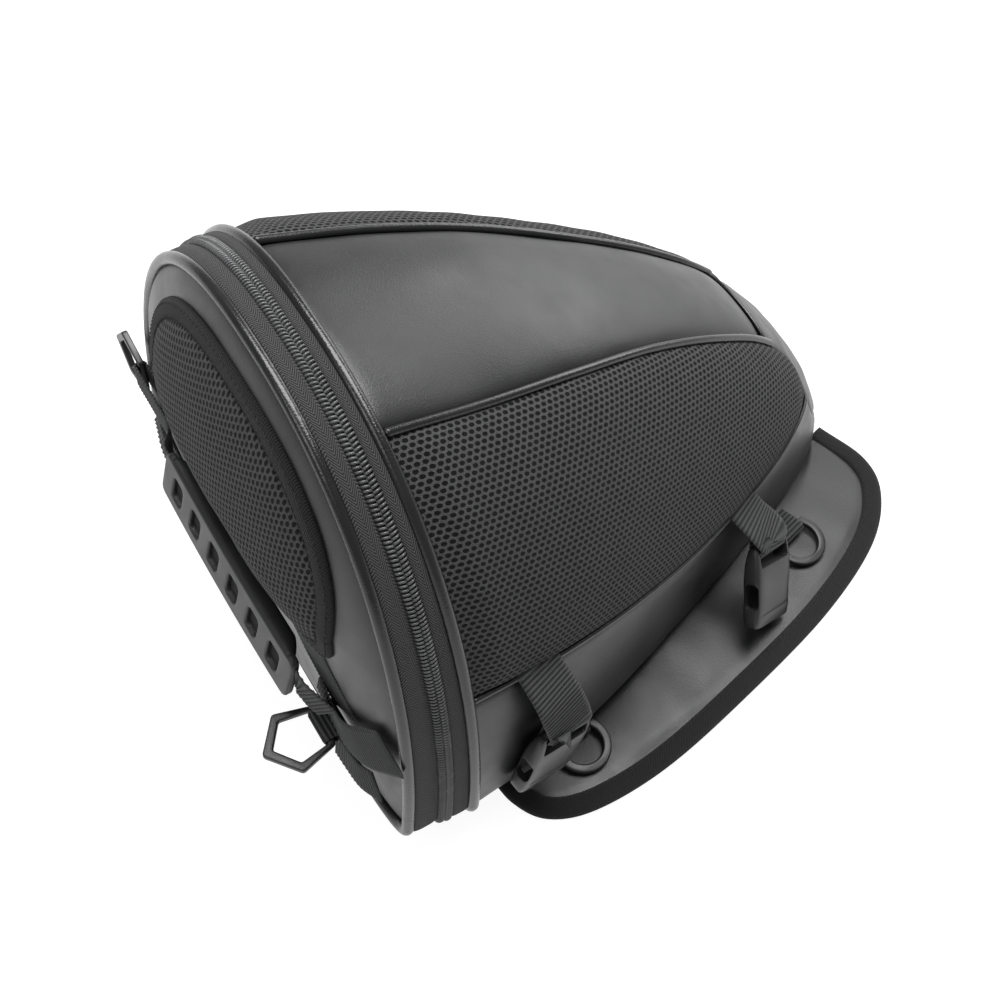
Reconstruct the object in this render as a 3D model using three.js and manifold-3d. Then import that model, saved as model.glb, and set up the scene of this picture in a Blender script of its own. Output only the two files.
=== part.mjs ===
// Tail bag for a motorcycle seat: a soft shell that tapers from a wide zipped end to a low nose,
// with a domed end lid, side wings that carry strap rings, and four strap buckles.
// Millimetres. +Z up. The zipped end faces -Y, the nose points to +Y, and x = 0 is the middle.

import * as THREE from 'three';
import { mergeVertices } from 'three/addons/utils/BufferGeometryUtils.js';
import Module from 'manifold-3d';

const wasm = await Module();
wasm.setup();

// ---------------------------------------------------------------- driving dimensions

const ORIGIN_SHIFT_Y = -112.9;      // moves the body rim so that the whole bag is centred
const GAP = 0.35;                   // clearance kept between neighbouring pieces

// Body: half width and height of the section at each station from rim (0) to nose.
const BODY_LENGTH = 298;
const BODY_STATIONS = [
  { y: 0, halfWidth: 141, height: 241 },
  { y: 50, halfWidth: 133, height: 224 },
  { y: 100, halfWidth: 119.5, height: 204 },
  { y: 150, halfWidth: 102, height: 178 },
  { y: 200, halfWidth: 83, height: 146 },
  { y: 240, halfWidth: 67, height: 112 },
  { y: 270, halfWidth: 51, height: 74 },
  { y: 288, halfWidth: 35, height: 38 },
  { y: BODY_LENGTH, halfWidth: 14, height: 12 },
];
const ARCH_POWER = 2.3;             // superellipse power of the arch above its widest level
const UNDER_POWER = 3.5;            // the same for the rounding under the widest level
const WIDEST_LEVEL = 36;            // height of the widest level at the rim
const WIDEST_FADE = 340;            // length over which that level would sink to the table

// Seams: half spacing of the two top seams, and height of the lower seam, along the body.
const TOP_SEAM = [
  [0, 57], [50, 54], [100, 47.5], [150, 38.5], [200, 31.5], [238, 27], [256, 29], [266, 40], [276, 41],
  [288, 30], [298, 13],
];
const LOW_SEAM = [[0, 125], [50, 110], [100, 93], [150, 76], [200, 66], [240, 65], [266, 62], [298, 58]];
const TOP_PANEL_END = 238;
const SIDE_PANEL_END = 262;
const NOSE_SHARE = 0.85;            // greatest half width of the nose panel over that of the body
const NOSE_GAP = 2.5;               // gap between the nose panel and the bands under it
const BAND_END = 295;

const PANEL_THICKNESS = 3;
const TOP_PIPING_RADIUS = 2.2;
const LOW_PIPING_RADIUS = 1.4;
const WELT_SPACE = 2 * LOW_PIPING_RADIUS + 3 * GAP;
const RIM_PIPING_RADIUS = 3;
const BODY_RIM_Y = -1.5;            // middle of the body's rim piping, on the shell's open edge
const SHELL_START = BODY_RIM_Y + RIM_PIPING_RADIUS + GAP;
const BASE_THICKNESS = 2.4;
const BASE_END_MARGIN = 22;
const BASE_BOARD_THICKNESS = 2.5;
const BAND_FOOT_FRACTION = 0.77;    // least half width of the lower band's foot over that of the body
const BAND_FOOT_LEVEL = 4.6;        // height of that foot, just above the wings

// Lid: arch a little smaller than the body rim, leaning towards the body at the top.
const LID_HALF_WIDTH = 136;
const LID_HEIGHT = 240.5;
const LID_Y = -34.7;
const LID_LEAN = 0.034;
const RIM_BOTTOM = 6;               // lowest level of both rims
const RIM_UNDER_POWER = 2.44;
const LID_THICKNESS = 2.6;
const LID_DOME = 24;                // most that the lid bulges out of its plane
const DOME_FULL_HEIGHT = 150;       // height at which the bulge reaches its full depth
const DOME_EDGE_POWER = 0.7;
const DOME_FOOT_POWER = 1.6;

// Zip between the two rims, as fractions of the way from lid rim to body rim.
const ZIP_SPLIT = 0.52;
const COIL_HALF_WIDTH = 3.7;
const TAPE_THICKNESS = 1.6;
const COIL_THICKNESS = 2.6;

// Half-moon pad on the lid.
const PAD_HALF_WIDTH = 88;
const PAD_TOP = 226;
const PAD_WIDEST = 148;
const PAD_BOTTOM = 121;
const PAD_BINDING_WIDTH = 9;
const PAD_CROWN = 6;

// Carry handle on the lid.
const GRIP_HALF_LENGTH = 67;
const GRIP_HEIGHT = 27;
const GRIP_THICKNESS = 4.2;
const GRIP_LEVEL = 86;
const GRIP_END_Y = -54;
const GRIP_BOW = 1;
const GRIP_TILT = 0.24;
const GRIP_SLOTS = 6;

// Webbing and hardware.
const WEBBING_WIDTH = 25;
const WEBBING_THICKNESS = 1.6;
const RING_WEBBING_WIDTH = 20;
const BUCKLE_WIDTH = 33;
const BUCKLE_LENGTH = 43;
const BUCKLE_THICKNESS = 11;
const LID_RING_WIRE = 3.4;
const D_RING_WIRE = 2.9;
const D_RING_RADIUS = 13.2;

// Wings: outer outline of the right wing, from its front root round to the nose.
const WING_OUTLINE = [
  [119, 20], [140, 23], [156, 34], [164, 58], [163, 100], [152, 155], [134, 222], [112, 272], [88, 298],
  [64, 305], [34, 296],
];
const WING_THICKNESS = 4;
const WING_BINDING_WIDTH = 11;
const WING_BINDING_THICKNESS = 4.8;

// ---------------------------------------------------------------- materials

const finishes = {
  leather: { color: 0x2b2c2e, roughness: 0.5, metalness: 0 },
  mesh: { color: 0x1f2022, roughness: 0.95, metalness: 0 },
  fabric: { color: 0x1a1b1d, roughness: 0.95, metalness: 0 },
  webbing: { color: 0x1c1d1f, roughness: 0.85, metalness: 0 },
  coil: { color: 0x161618, roughness: 0.45, metalness: 0 },
  plastic: { color: 0x222325, roughness: 0.4, metalness: 0 },
  rubber: { color: 0x2c2d2f, roughness: 0.55, metalness: 0 },
  metal: { color: 0x2a2a2c, roughness: 0.35, metalness: 0.8 },
  board: { color: 0x3a3b3d, roughness: 0.8, metalness: 0 },
};

const bag = new THREE.Group();
bag.position.y = ORIGIN_SHIFT_Y;

function addPiece(name, finish, geometry, parent = bag) {
  const mesh = new THREE.Mesh(geometry, new THREE.MeshStandardMaterial(finishes[finish]));
  mesh.name = name;
  parent.add(mesh);
  return mesh;
}

const sides = [{ name: 'right', sign: 1 }, { name: 'left', sign: -1 }];

// ---------------------------------------------------------------- shape functions

// Smooth curve through (position, value) pairs.
function along(pairs, position) {
  const last = pairs.length - 1;
  let k = 0;
  while (k < last - 1 && position > pairs[k + 1][0]) k += 1;
  const [x0, v0] = pairs[k];
  const [x1, v1] = pairs[k + 1];
  const slope = (i, j) => (pairs[j][1] - pairs[i][1]) / (pairs[j][0] - pairs[i][0]);
  const m0 = slope(Math.max(k - 1, 0), k + 1);
  const m1 = slope(k, Math.min(k + 2, last));
  const span = x1 - x0;
  const t = (position - x0) / span;
  const t2 = t * t;
  const t3 = t2 * t;
  return v0 * (2 * t3 - 3 * t2 + 1) + m0 * span * (t3 - 2 * t2 + t)
    + v1 * (3 * t2 - 2 * t3) + m1 * span * (t3 - t2);
}

const widths = BODY_STATIONS.map((station) => [station.y, station.halfWidth]);
const heights = BODY_STATIONS.map((station) => [station.y, station.height]);

// Section of the body at y, shrunk by inset: half width, height, widest level and lower power.
function bodySection(y, inset = 0) {
  const stretched = Math.min(y * BODY_LENGTH / (BODY_LENGTH - inset), BODY_LENGTH);
  const halfWidth = along(widths, stretched) - inset;
  const height = along(heights, stretched) - inset;
  const widest = Math.min(WIDEST_LEVEL * (1 - y / WIDEST_FADE), 0.45 * height);
  const fromRim = Math.min(y / 40, 1);
  const under = RIM_UNDER_POWER + (UNDER_POWER - RIM_UNDER_POWER) * fromRim;
  const bottom = RIM_BOTTOM * (1 - fromRim) + inset;
  return { halfWidth, height, widest, under, bottom };
}

// Point of a section at an angle: 90 degrees is the top, 0 the widest level, below 0 tucks under.
function sectionPoint(section, angle) {
  const above = angle >= 0;
  const power = above ? ARCH_POWER : section.under;
  const x = section.halfWidth * Math.sign(Math.cos(angle)) * Math.abs(Math.cos(angle)) ** (2 / power);
  const rise = Math.abs(Math.sin(angle)) ** (2 / power);
  const z = above
    ? section.widest + (section.height - section.widest) * rise
    : section.widest - (section.widest - section.bottom) * rise;
  return { x, z };
}

// Angle at which the right half of a section reaches x above its widest level.
function angleAtX(section, x) {
  const ratio = Math.min(Math.max(x / section.halfWidth, 0), 1);
  return Math.acos(ratio ** (ARCH_POWER / 2));
}

// Angle at which it reaches height z.
function angleAtZ(section, z) {
  const above = z >= section.widest;
  const power = above ? ARCH_POWER : section.under;
  const reach = above ? section.height - section.widest : section.widest - section.bottom;
  const ratio = Math.min(Math.abs(z - section.widest) / reach, 1);
  return Math.asin(ratio ** (power / 2)) * (above ? 1 : -1);
}

const lidPlane = (z) => LID_Y + LID_LEAN * z;

// Section of the zipped end between the lid rim (0) and the body rim (1), grown outwards by lift.
function rimSection(fraction, lift = 0) {
  const rim = bodySection(0);
  return {
    halfWidth: LID_HALF_WIDTH + (rim.halfWidth - LID_HALF_WIDTH) * fraction + lift,
    height: LID_HEIGHT + (rim.height - LID_HEIGHT) * fraction + lift,
    widest: WIDEST_LEVEL,
    under: RIM_UNDER_POWER,
    bottom: RIM_BOTTOM - lift,
  };
}

// How far the lid bulges out at (x, z).
function lidBulge(x, z) {
  const power = z > WIDEST_LEVEL ? ARCH_POWER : RIM_UNDER_POWER;
  const reach = z > WIDEST_LEVEL ? LID_HEIGHT - WIDEST_LEVEL : WIDEST_LEVEL - RIM_BOTTOM;
  const level = (Math.abs(x) / LID_HALF_WIDTH) ** power + (Math.abs(z - WIDEST_LEVEL) / reach) ** power;
  const climb = Math.min(Math.max((z - RIM_BOTTOM) / (DOME_FULL_HEIGHT - RIM_BOTTOM), 0), 1);
  return LID_DOME * Math.max(1 - level, 0) ** DOME_EDGE_POWER * climb ** DOME_FOOT_POWER;
}

const lidFace = (x, z) => lidPlane(z) - lidBulge(x, z);

// ---------------------------------------------------------------- solid builders

function solidFrom(vertices, triangles) {
  const geometry = new THREE.BufferGeometry();
  geometry.setAttribute('position', new THREE.Float32BufferAttribute(vertices.flat(), 3));
  geometry.setIndex(triangles.flat());
  if (signedVolume(vertices, triangles) < 0) {
    geometry.setIndex(triangles.map(([a, b, c]) => [a, c, b]).flat());
  }
  geometry.computeVertexNormals();
  return geometry;
}

function signedVolume(vertices, triangles) {
  let total = 0;
  for (const [a, b, c] of triangles) {
    const [ax, ay, az] = vertices[a];
    const [bx, by, bz] = vertices[b];
    const [cx, cy, cz] = vertices[c];
    total += ax * (by * cz - bz * cy) - ay * (bx * cz - bz * cx) + az * (bx * cy - by * cx);
  }
  return total / 6;
}

// Closed slab between two faces, each given as face(u, v) with u and v from 0 to 1.
function slab(stepsU, stepsV, face, backFace) {
  const vertices = [];
  const triangles = [];
  const rowLength = stepsV + 1;
  const layer = (stepsU + 1) * rowLength;
  const at = (side, i, j) => side * layer + i * rowLength + j;
  for (const surface of [face, backFace]) {
    for (let i = 0; i <= stepsU; i += 1) {
      for (let j = 0; j <= stepsV; j += 1) vertices.push(surface(i / stepsU, j / stepsV));
    }
  }
  const quad = (a, b, c, d) => triangles.push([a, b, c], [a, c, d]);
  for (let i = 0; i < stepsU; i += 1) {
    for (let j = 0; j < stepsV; j += 1) {
      quad(at(0, i, j), at(0, i + 1, j), at(0, i + 1, j + 1), at(0, i, j + 1));
      quad(at(1, i, j), at(1, i, j + 1), at(1, i + 1, j + 1), at(1, i + 1, j));
    }
    quad(at(0, i, 0), at(1, i, 0), at(1, i + 1, 0), at(0, i + 1, 0));
    quad(at(0, i, stepsV), at(0, i + 1, stepsV), at(1, i + 1, stepsV), at(1, i, stepsV));
  }
  for (let j = 0; j < stepsV; j += 1) {
    quad(at(0, 0, j), at(0, 0, j + 1), at(1, 0, j + 1), at(1, 0, j));
    quad(at(0, stepsU, j), at(1, stepsU, j), at(1, stepsU, j + 1), at(0, stepsU, j + 1));
  }
  return solidFrom(vertices, triangles);
}

// Closed disc between two faces, each given as face(radius, turn) with radius and turn from 0 to 1.
function disc(rings, segments, face, backFace) {
  const vertices = [];
  const triangles = [];
  const layer = 1 + rings * segments;
  const at = (side, ring, k) => side * layer + (ring === 0 ? 0 : 1 + (ring - 1) * segments + (k % segments));
  for (const surface of [face, backFace]) {
    vertices.push(surface(0, 0));
    for (let ring = 1; ring <= rings; ring += 1) {
      for (let k = 0; k < segments; k += 1) vertices.push(surface(ring / rings, k / segments));
    }
  }
  for (let k = 0; k < segments; k += 1) {
    triangles.push([at(0, 0, 0), at(0, 1, k), at(0, 1, k + 1)], [at(1, 0, 0), at(1, 1, k + 1), at(1, 1, k)]);
    for (let ring = 1; ring < rings; ring += 1) {
      const corners = [at(0, ring, k), at(0, ring + 1, k), at(0, ring + 1, k + 1), at(0, ring, k + 1)];
      triangles.push([corners[0], corners[1], corners[2]], [corners[0], corners[2], corners[3]]);
      const back = [at(1, ring, k), at(1, ring, k + 1), at(1, ring + 1, k + 1), at(1, ring + 1, k)];
      triangles.push([back[0], back[1], back[2]], [back[0], back[2], back[3]]);
    }
    const edge = [at(0, rings, k), at(1, rings, k), at(1, rings, k + 1), at(0, rings, k + 1)];
    triangles.push([edge[0], edge[1], edge[2]], [edge[0], edge[2], edge[3]]);
  }
  return solidFrom(vertices, triangles);
}

// Closed loop of a four-cornered section: corner(which, turn) gives each corner at each turn.
function loop(segments, corner) {
  const vertices = [];
  const triangles = [];
  for (let k = 0; k < segments; k += 1) {
    for (let which = 0; which < 4; which += 1) vertices.push(corner(which, k / segments));
  }
  const at = (which, k) => (k % segments) * 4 + (which % 4);
  for (let k = 0; k < segments; k += 1) {
    for (let which = 0; which < 4; which += 1) {
      triangles.push([at(which, k), at(which, k + 1), at(which + 1, k + 1)]);
      triangles.push([at(which, k), at(which + 1, k + 1), at(which + 1, k)]);
    }
  }
  return solidFrom(vertices, triangles);
}

// Round cord along a list of points, with closed ends.
function cord(points, radius, steps) {
  const path = new THREE.CatmullRomCurve3(points.map((point) => new THREE.Vector3(...point)));
  const section = new THREE.Shape();
  section.absarc(0, 0, radius, 0, 2 * Math.PI);
  const options = { steps, curveSegments: 4, extrudePath: path, bevelEnabled: false };
  return new THREE.ExtrudeGeometry(section, options);
}

// Flat ribbon along points; across(i) is the unit direction of its width at point i.
function ribbon(points, across, width, thickness) {
  const centres = points.map((point) => new THREE.Vector3(...point));
  const normals = centres.map((_, i) => {
    const before = centres[Math.max(i - 1, 0)];
    const after = centres[Math.min(i + 1, centres.length - 1)];
    return after.clone().sub(before).cross(across(i)).normalize();
  });
  const place = (i, sideways, outwards) => centres[i].clone()
    .addScaledVector(across(i), sideways).addScaledVector(normals[i], outwards).toArray();
  const last = centres.length - 1;
  const face = (u, v) => place(Math.round(u * last), (v - 0.5) * width, thickness / 2);
  const backFace = (u, v) => place(Math.round(u * last), (v - 0.5) * width, -thickness / 2);
  return slab(last, 1, face, backFace);
}

function toManifold(geometry) {
  const bare = geometry.clone();
  bare.deleteAttribute('normal');
  bare.deleteAttribute('uv');
  const merged = mergeVertices(bare, 1e-4);
  const vertProperties = Float32Array.from(merged.attributes.position.array);
  const triVerts = Uint32Array.from(merged.index.array);
  return new wasm.Manifold(new wasm.Mesh({ numProp: 3, vertProperties, triVerts }));
}

function fromManifold(manifold) {
  const { vertProperties, triVerts } = manifold.getMesh();
  const geometry = new THREE.BufferGeometry();
  geometry.setAttribute('position', new THREE.BufferAttribute(Float32Array.from(vertProperties), 3));
  geometry.setIndex(Array.from(triVerts));
  geometry.computeVertexNormals();
  return geometry;
}

// Box with its long edges rounded, centred on the origin: x by y outline, z thick.
function roundedPlate(width, length, thickness, radius) {
  const shape = new THREE.Shape();
  const x = width / 2 - radius;
  const y = length / 2 - radius;
  shape.absarc(x, y, radius, 0, Math.PI / 2);
  shape.absarc(-x, y, radius, Math.PI / 2, Math.PI);
  shape.absarc(-x, -y, radius, Math.PI, 1.5 * Math.PI);
  shape.absarc(x, -y, radius, 1.5 * Math.PI, 2 * Math.PI);
  const options = { depth: thickness, bevelEnabled: false, curveSegments: 4 };
  return new THREE.ExtrudeGeometry(shape, options).translate(0, 0, -thickness / 2);
}

function cut(geometry, tools) {
  let solid = toManifold(geometry);
  for (const tool of tools) solid = solid.subtract(toManifold(tool));
  return fromManifold(solid);
}

// ---------------------------------------------------------------- body shell

const mix = (a, b, t) => a + (b - a) * t;

// Top panel between the two top seams.
function topPanel(inset) {
  return (u, v) => {
    const y = mix(SHELL_START, TOP_PANEL_END, u);
    const section = bodySection(y, inset);
    const edge = along(TOP_SEAM, y) - TOP_PIPING_RADIUS - GAP;
    const x = mix(-edge, edge, v);
    const { z } = sectionPoint(section, angleAtX(section, Math.abs(x)));
    return [x, y, z];
  };
}
addPiece('top_panel', 'leather', slab(14, 12, topPanel(0), topPanel(PANEL_THICKNESS)));

// Point on one side of the body between two seams; v runs from the lower to the upper one.
function sidePoint(sign, y, inset, lowerAngle, upperAngle, v) {
  const section = bodySection(y, inset);
  const { x, z } = sectionPoint(section, mix(lowerAngle, upperAngle, v));
  return [sign * x, y, z];
}

// Shift of an angle that moves a point of the section by a given length.
const shiftOf = (section, length) => length / (0.5 * (section.halfWidth + section.height));

function sidePanel(sign, inset) {
  return (u, v) => {
    const y = mix(SHELL_START, SIDE_PANEL_END, u);
    const section = bodySection(y);
    const lower = angleAtZ(section, along(LOW_SEAM, y)) + shiftOf(section, WELT_SPACE);
    const seamX = Math.min(along(TOP_SEAM, y), 0.97 * section.halfWidth);
    const upper = angleAtX(section, seamX) - shiftOf(section, 2 * TOP_PIPING_RADIUS + 3 * GAP);
    return sidePoint(sign, y, inset, lower, Math.max(upper, lower + 0.05), v);
  };
}

// Angle at which the lower band ends under the body.
function footAngle(section) {
  const widestFoot = -Math.acos(BAND_FOOT_FRACTION ** (section.under / 2));
  return Math.max(angleAtZ(section, BAND_FOOT_LEVEL), widestFoot);
}

function footX(y) {
  const section = bodySection(y);
  return sectionPoint(section, footAngle(section)).x;
}

// Angle at which the nose panel ends, just inside the top seams.
function noseAngle(y) {
  const section = bodySection(y);
  const edge = along(TOP_SEAM, y) - TOP_PIPING_RADIUS - GAP;
  return angleAtX(section, Math.min(edge, NOSE_SHARE * section.halfWidth));
}

function lowerBand(sign, inset) {
  return (u, v) => {
    const y = mix(SHELL_START, BAND_END, u);
    const section = bodySection(y);
    const underWelt = angleAtZ(section, along(LOW_SEAM, y)) - shiftOf(section, WELT_SPACE);
    const underNose = noseAngle(y) - shiftOf(section, NOSE_GAP);
    return sidePoint(sign, y, inset, footAngle(section), Math.min(underWelt, underNose), v);
  };
}

// Nose panel: closes the end between the side panels, down to the base.
function nosePanel(inset) {
  return (u, v) => {
    const y = mix(TOP_PANEL_END + 2 * GAP, BODY_LENGTH - inset, u);
    const section = bodySection(y, inset);
    const start = noseAngle(y);
    const angle = mix(Math.PI - start, start, v);
    const { x, z } = sectionPoint(section, Math.min(angle, Math.PI - angle));
    return [angle > Math.PI / 2 ? -x : x, y, z];
  };
}
addPiece('nose_panel', 'leather', slab(10, 8, nosePanel(0), nosePanel(PANEL_THICKNESS)));

for (const { name, sign } of sides) {
  const panel = slab(16, 8, sidePanel(sign, 0), sidePanel(sign, PANEL_THICKNESS));
  addPiece(`side_panel_${name}`, 'mesh', panel);
  const band = slab(26, 6, lowerBand(sign, 0), lowerBand(sign, PANEL_THICKNESS));
  addPiece(`lower_band_${name}`, 'leather', band);

  const topSeamPoints = [];
  const lowSeamPoints = [];
  const seamStart = SHELL_START;
  for (let k = 0; k <= 12; k += 1) {
    const y = mix(seamStart, TOP_PANEL_END - 2, k / 12);
    const section = bodySection(y);
    const x = along(TOP_SEAM, y);
    topSeamPoints.push([sign * x, y, sectionPoint(section, angleAtX(section, x)).z]);
    const lowY = mix(seamStart, SIDE_PANEL_END - 2, k / 12);
    const lowSection = bodySection(lowY);
    const z = along(LOW_SEAM, lowY);
    lowSeamPoints.push([sign * sectionPoint(lowSection, angleAtZ(lowSection, z)).x, lowY, z]);
  }
  addPiece(`top_piping_${name}`, 'leather', cord(topSeamPoints, TOP_PIPING_RADIUS, 24));
  addPiece(`low_piping_${name}`, 'leather', cord(lowSeamPoints, LOW_PIPING_RADIUS, 24));
}

// Flat bottom: an outer panel, and a stiff board that lies on it inside the bag.
function basePlate(low, high, margin) {
  const point = (z) => (u, v) => {
    const y = mix(3, BODY_LENGTH - BASE_END_MARGIN - margin, u);
    const edge = footX(y) - margin;
    return [mix(-edge, edge, v), y, z];
  };
  return slab(14, 2, point(high), point(low));
}
addPiece('base_panel', 'leather', basePlate(0, BASE_THICKNESS, PANEL_THICKNESS));
const boardFloor = BASE_THICKNESS + GAP;
const boardMargin = 14;
addPiece('base_board', 'board', basePlate(boardFloor, boardFloor + BASE_BOARD_THICKNESS, boardMargin));

// ---------------------------------------------------------------- zipped gusset and rims

const ARCH_END = -1.0;              // angle, in radians, at which the rims end under the bag
const ARCH_STEPS = 36;

// Point on the arch of the zipped end: turn 0 and 1 are the two feet, 0.5 is the top.
function archPoint(fraction, lift, turn) {
  const angle = mix(ARCH_END, Math.PI - ARCH_END, turn);
  const folded = angle > Math.PI / 2 ? Math.PI - angle : angle;
  const { x, z } = sectionPoint(rimSection(fraction, lift), folded);
  return { x: angle > Math.PI / 2 ? -x : x, z };
}

// Band round the arch from one y to another, given as functions of z.
function archBand(fromY, toY, fraction, outerLift, innerLift) {
  const surface = (lift) => (u, v) => {
    const { x, z } = archPoint(fraction, lift, u);
    return [x, mix(fromY(z), toY(z), v), z];
  };
  return slab(ARCH_STEPS, 1, surface(outerLift), surface(innerLift));
}

function archCord(fraction, yOf, radius) {
  const points = [];
  for (let k = 0; k <= ARCH_STEPS; k += 1) {
    const { x, z } = archPoint(fraction, 0, k / ARCH_STEPS);
    points.push([x, yOf(z), z]);
  }
  return cord(points, radius, ARCH_STEPS * 1.5);
}

const splitY = (z) => lidPlane(z) * (1 - ZIP_SPLIT);
const clearOfRim = RIM_PIPING_RADIUS + GAP;

// One half of the zip: a coil beside the split and a tape between the coil and the rim piping.
function zipTape(rimY, towardsRim, fraction) {
  const coilSide = (z) => splitY(z) + towardsRim * (COIL_HALF_WIDTH + GAP);
  const rimSide = (z) => rimY(z) - towardsRim * clearOfRim;
  return archBand(coilSide, rimSide, fraction, 0, -TAPE_THICKNESS);
}

function zipCoil(towardsRim, fraction) {
  const splitSide = (z) => splitY(z) + towardsRim * GAP / 2;
  const tapeSide = (z) => splitY(z) + towardsRim * COIL_HALF_WIDTH;
  return archBand(splitSide, tapeSide, fraction, COIL_THICKNESS - TAPE_THICKNESS, -TAPE_THICKNESS);
}

addPiece('body_rim_piping', 'leather', archCord(1, () => BODY_RIM_Y, RIM_PIPING_RADIUS));
addPiece('zip_tape_body', 'fabric', zipTape(() => BODY_RIM_Y, 1, 0.75));
addPiece('zip_coil_body', 'coil', zipCoil(1, 0.6));

const lid = new THREE.Group();
bag.add(lid);
addPiece('lid_rim_piping', 'leather', archCord(0, lidPlane, RIM_PIPING_RADIUS), lid);
addPiece('zip_tape_lid', 'fabric', zipTape(lidPlane, -1, 0.25), lid);
addPiece('zip_coil_lid', 'coil', zipCoil(-1, 0.45), lid);

// Fabric hinge along the bottom, between the two feet of the arch.
const hingeHalfWidth = archPoint(0, 0, 0).x - RIM_PIPING_RADIUS - 2;
const HINGE_TAPE_THICKNESS = 1.8;
const hingeTape = new THREE.BoxGeometry(2 * hingeHalfWidth, -LID_Y - 6, HINGE_TAPE_THICKNESS);
addPiece('hinge_tape', 'fabric', hingeTape.translate(0, LID_Y / 2 + 3, HINGE_TAPE_THICKNESS / 2));

// ---------------------------------------------------------------- lid

// Outline of the lid inside its piping, by turn round the whole edge.
const lidInner = rimSection(0, -RIM_PIPING_RADIUS - 1);
const LID_CENTRE_Z = 110;

function lidEdge(turn) {
  const angle = 2 * Math.PI * turn - Math.PI / 2;
  const direction = { x: Math.cos(angle), z: Math.sin(angle) };
  let near = 0;
  let far = 2 * LID_HEIGHT;
  for (let k = 0; k < 30; k += 1) {
    const reach = (near + far) / 2;
    const x = Math.abs(direction.x * reach);
    const z = LID_CENTRE_Z + direction.z * reach;
    const above = z > lidInner.widest;
    const tall = above ? lidInner.height - lidInner.widest : lidInner.widest - lidInner.bottom;
    const power = above ? ARCH_POWER : RIM_UNDER_POWER;
    const level = (x / lidInner.halfWidth) ** power + (Math.abs(z - lidInner.widest) / tall) ** power;
    if (level < 1) near = reach; else far = reach;
  }
  return { x: direction.x * near, z: LID_CENTRE_Z + direction.z * near };
}

function lidSurface(behind) {
  return (radius, turn) => {
    const edge = lidEdge(turn);
    const x = edge.x * radius;
    const z = mix(LID_CENTRE_Z, edge.z, radius);
    return [x, lidFace(x, z) + behind, z];
  };
}
addPiece('lid_shell', 'leather', disc(8, 40, lidSurface(0), lidSurface(LID_THICKNESS)), lid);

// Stiff board that lies inside the lid and keeps it flat.
const BOARD_INSET = 0.8;
const LID_BOARD_THICKNESS = 2;
function lidBoard(y) {
  return (radius, turn) => {
    const edge = lidEdge(turn);
    const z = mix(LID_CENTRE_Z, edge.z, radius * BOARD_INSET);
    return [edge.x * radius * BOARD_INSET, lidPlane(z) + y, z];
  };
}
const boardY = LID_THICKNESS + GAP;
addPiece('lid_board', 'board', disc(2, 24, lidBoard(boardY), lidBoard(boardY + LID_BOARD_THICKNESS)), lid);

// Half-moon pad: an arch on top of a nearly straight lower edge with round corners.
const PAD_POWER = 2.3;
const PAD_FOOT_POWER = 5;
function padEdge(turn, shrink) {
  const angle = 2 * Math.PI * turn;
  const above = Math.sin(angle) >= 0;
  const power = above ? PAD_POWER : PAD_FOOT_POWER;
  const reach = above ? PAD_TOP - PAD_WIDEST : PAD_WIDEST - PAD_BOTTOM;
  const x = (PAD_HALF_WIDTH - shrink) * Math.sign(Math.cos(angle)) * Math.abs(Math.cos(angle)) ** (2 / power);
  const z = (reach - shrink) * Math.sign(Math.sin(angle)) * Math.abs(Math.sin(angle)) ** (2 / power);
  return { x, z: PAD_WIDEST + z };
}

function padSurface(front) {
  return (radius, turn) => {
    const edge = padEdge(turn, PAD_BINDING_WIDTH + GAP);
    const x = edge.x * radius;
    const z = mix(PAD_WIDEST, edge.z, radius);
    const crown = front ? 2 + (PAD_CROWN - 2) * Math.sqrt(1 - radius ** 3) : GAP;
    return [x, lidFace(x, z) - crown, z];
  };
}
addPiece('lid_pad', 'mesh', disc(6, 36, padSurface(true), padSurface(false)), lid);

const BINDING_RISE = 3;
addPiece('lid_pad_binding', 'webbing', loop(44, (which, turn) => {
  const outerSide = which === 0 || which === 1;
  const front = which === 1 || which === 2;
  const { x, z } = padEdge(turn, outerSide ? 0 : PAD_BINDING_WIDTH);
  return [x, lidFace(x, z) - (front ? BINDING_RISE : GAP), z];
}), lid);

// ---------------------------------------------------------------- carry handle

const handle = new THREE.Group();
lid.add(handle);

// Middle line of the handle: bowed away from the lid between its two ends.
const gripY = (x) => GRIP_END_Y - GRIP_BOW * (1 - (x / GRIP_HALF_LENGTH) ** 2);

function gripFace(depth) {
  return (u, v) => {
    const x = mix(-GRIP_HALF_LENGTH, GRIP_HALF_LENGTH, u);
    const up = (v - 0.5) * GRIP_HEIGHT;
    return [x, gripY(x) + GRIP_TILT * up + depth, GRIP_LEVEL + up * Math.sqrt(1 - GRIP_TILT ** 2)];
  };
}
const gripBlank = slab(18, 2, gripFace(-GRIP_THICKNESS / 2), gripFace(GRIP_THICKNESS / 2));
const slotPitch = 2 * GRIP_HALF_LENGTH / (GRIP_SLOTS + 0.6);
const slotCutters = [];
for (let k = 0; k < GRIP_SLOTS; k += 1) {
  const x = (k - (GRIP_SLOTS - 1) / 2) * slotPitch;
  const cutter = roundedPlate(slotPitch * 0.5, GRIP_HEIGHT * 0.52, 4 * GRIP_THICKNESS, 3);
  cutter.rotateX(Math.PI / 2);
  slotCutters.push(cutter.translate(x, gripY(x), GRIP_LEVEL));
}
addPiece('handle_grip', 'rubber', cut(gripBlank, slotCutters), handle);

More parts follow.
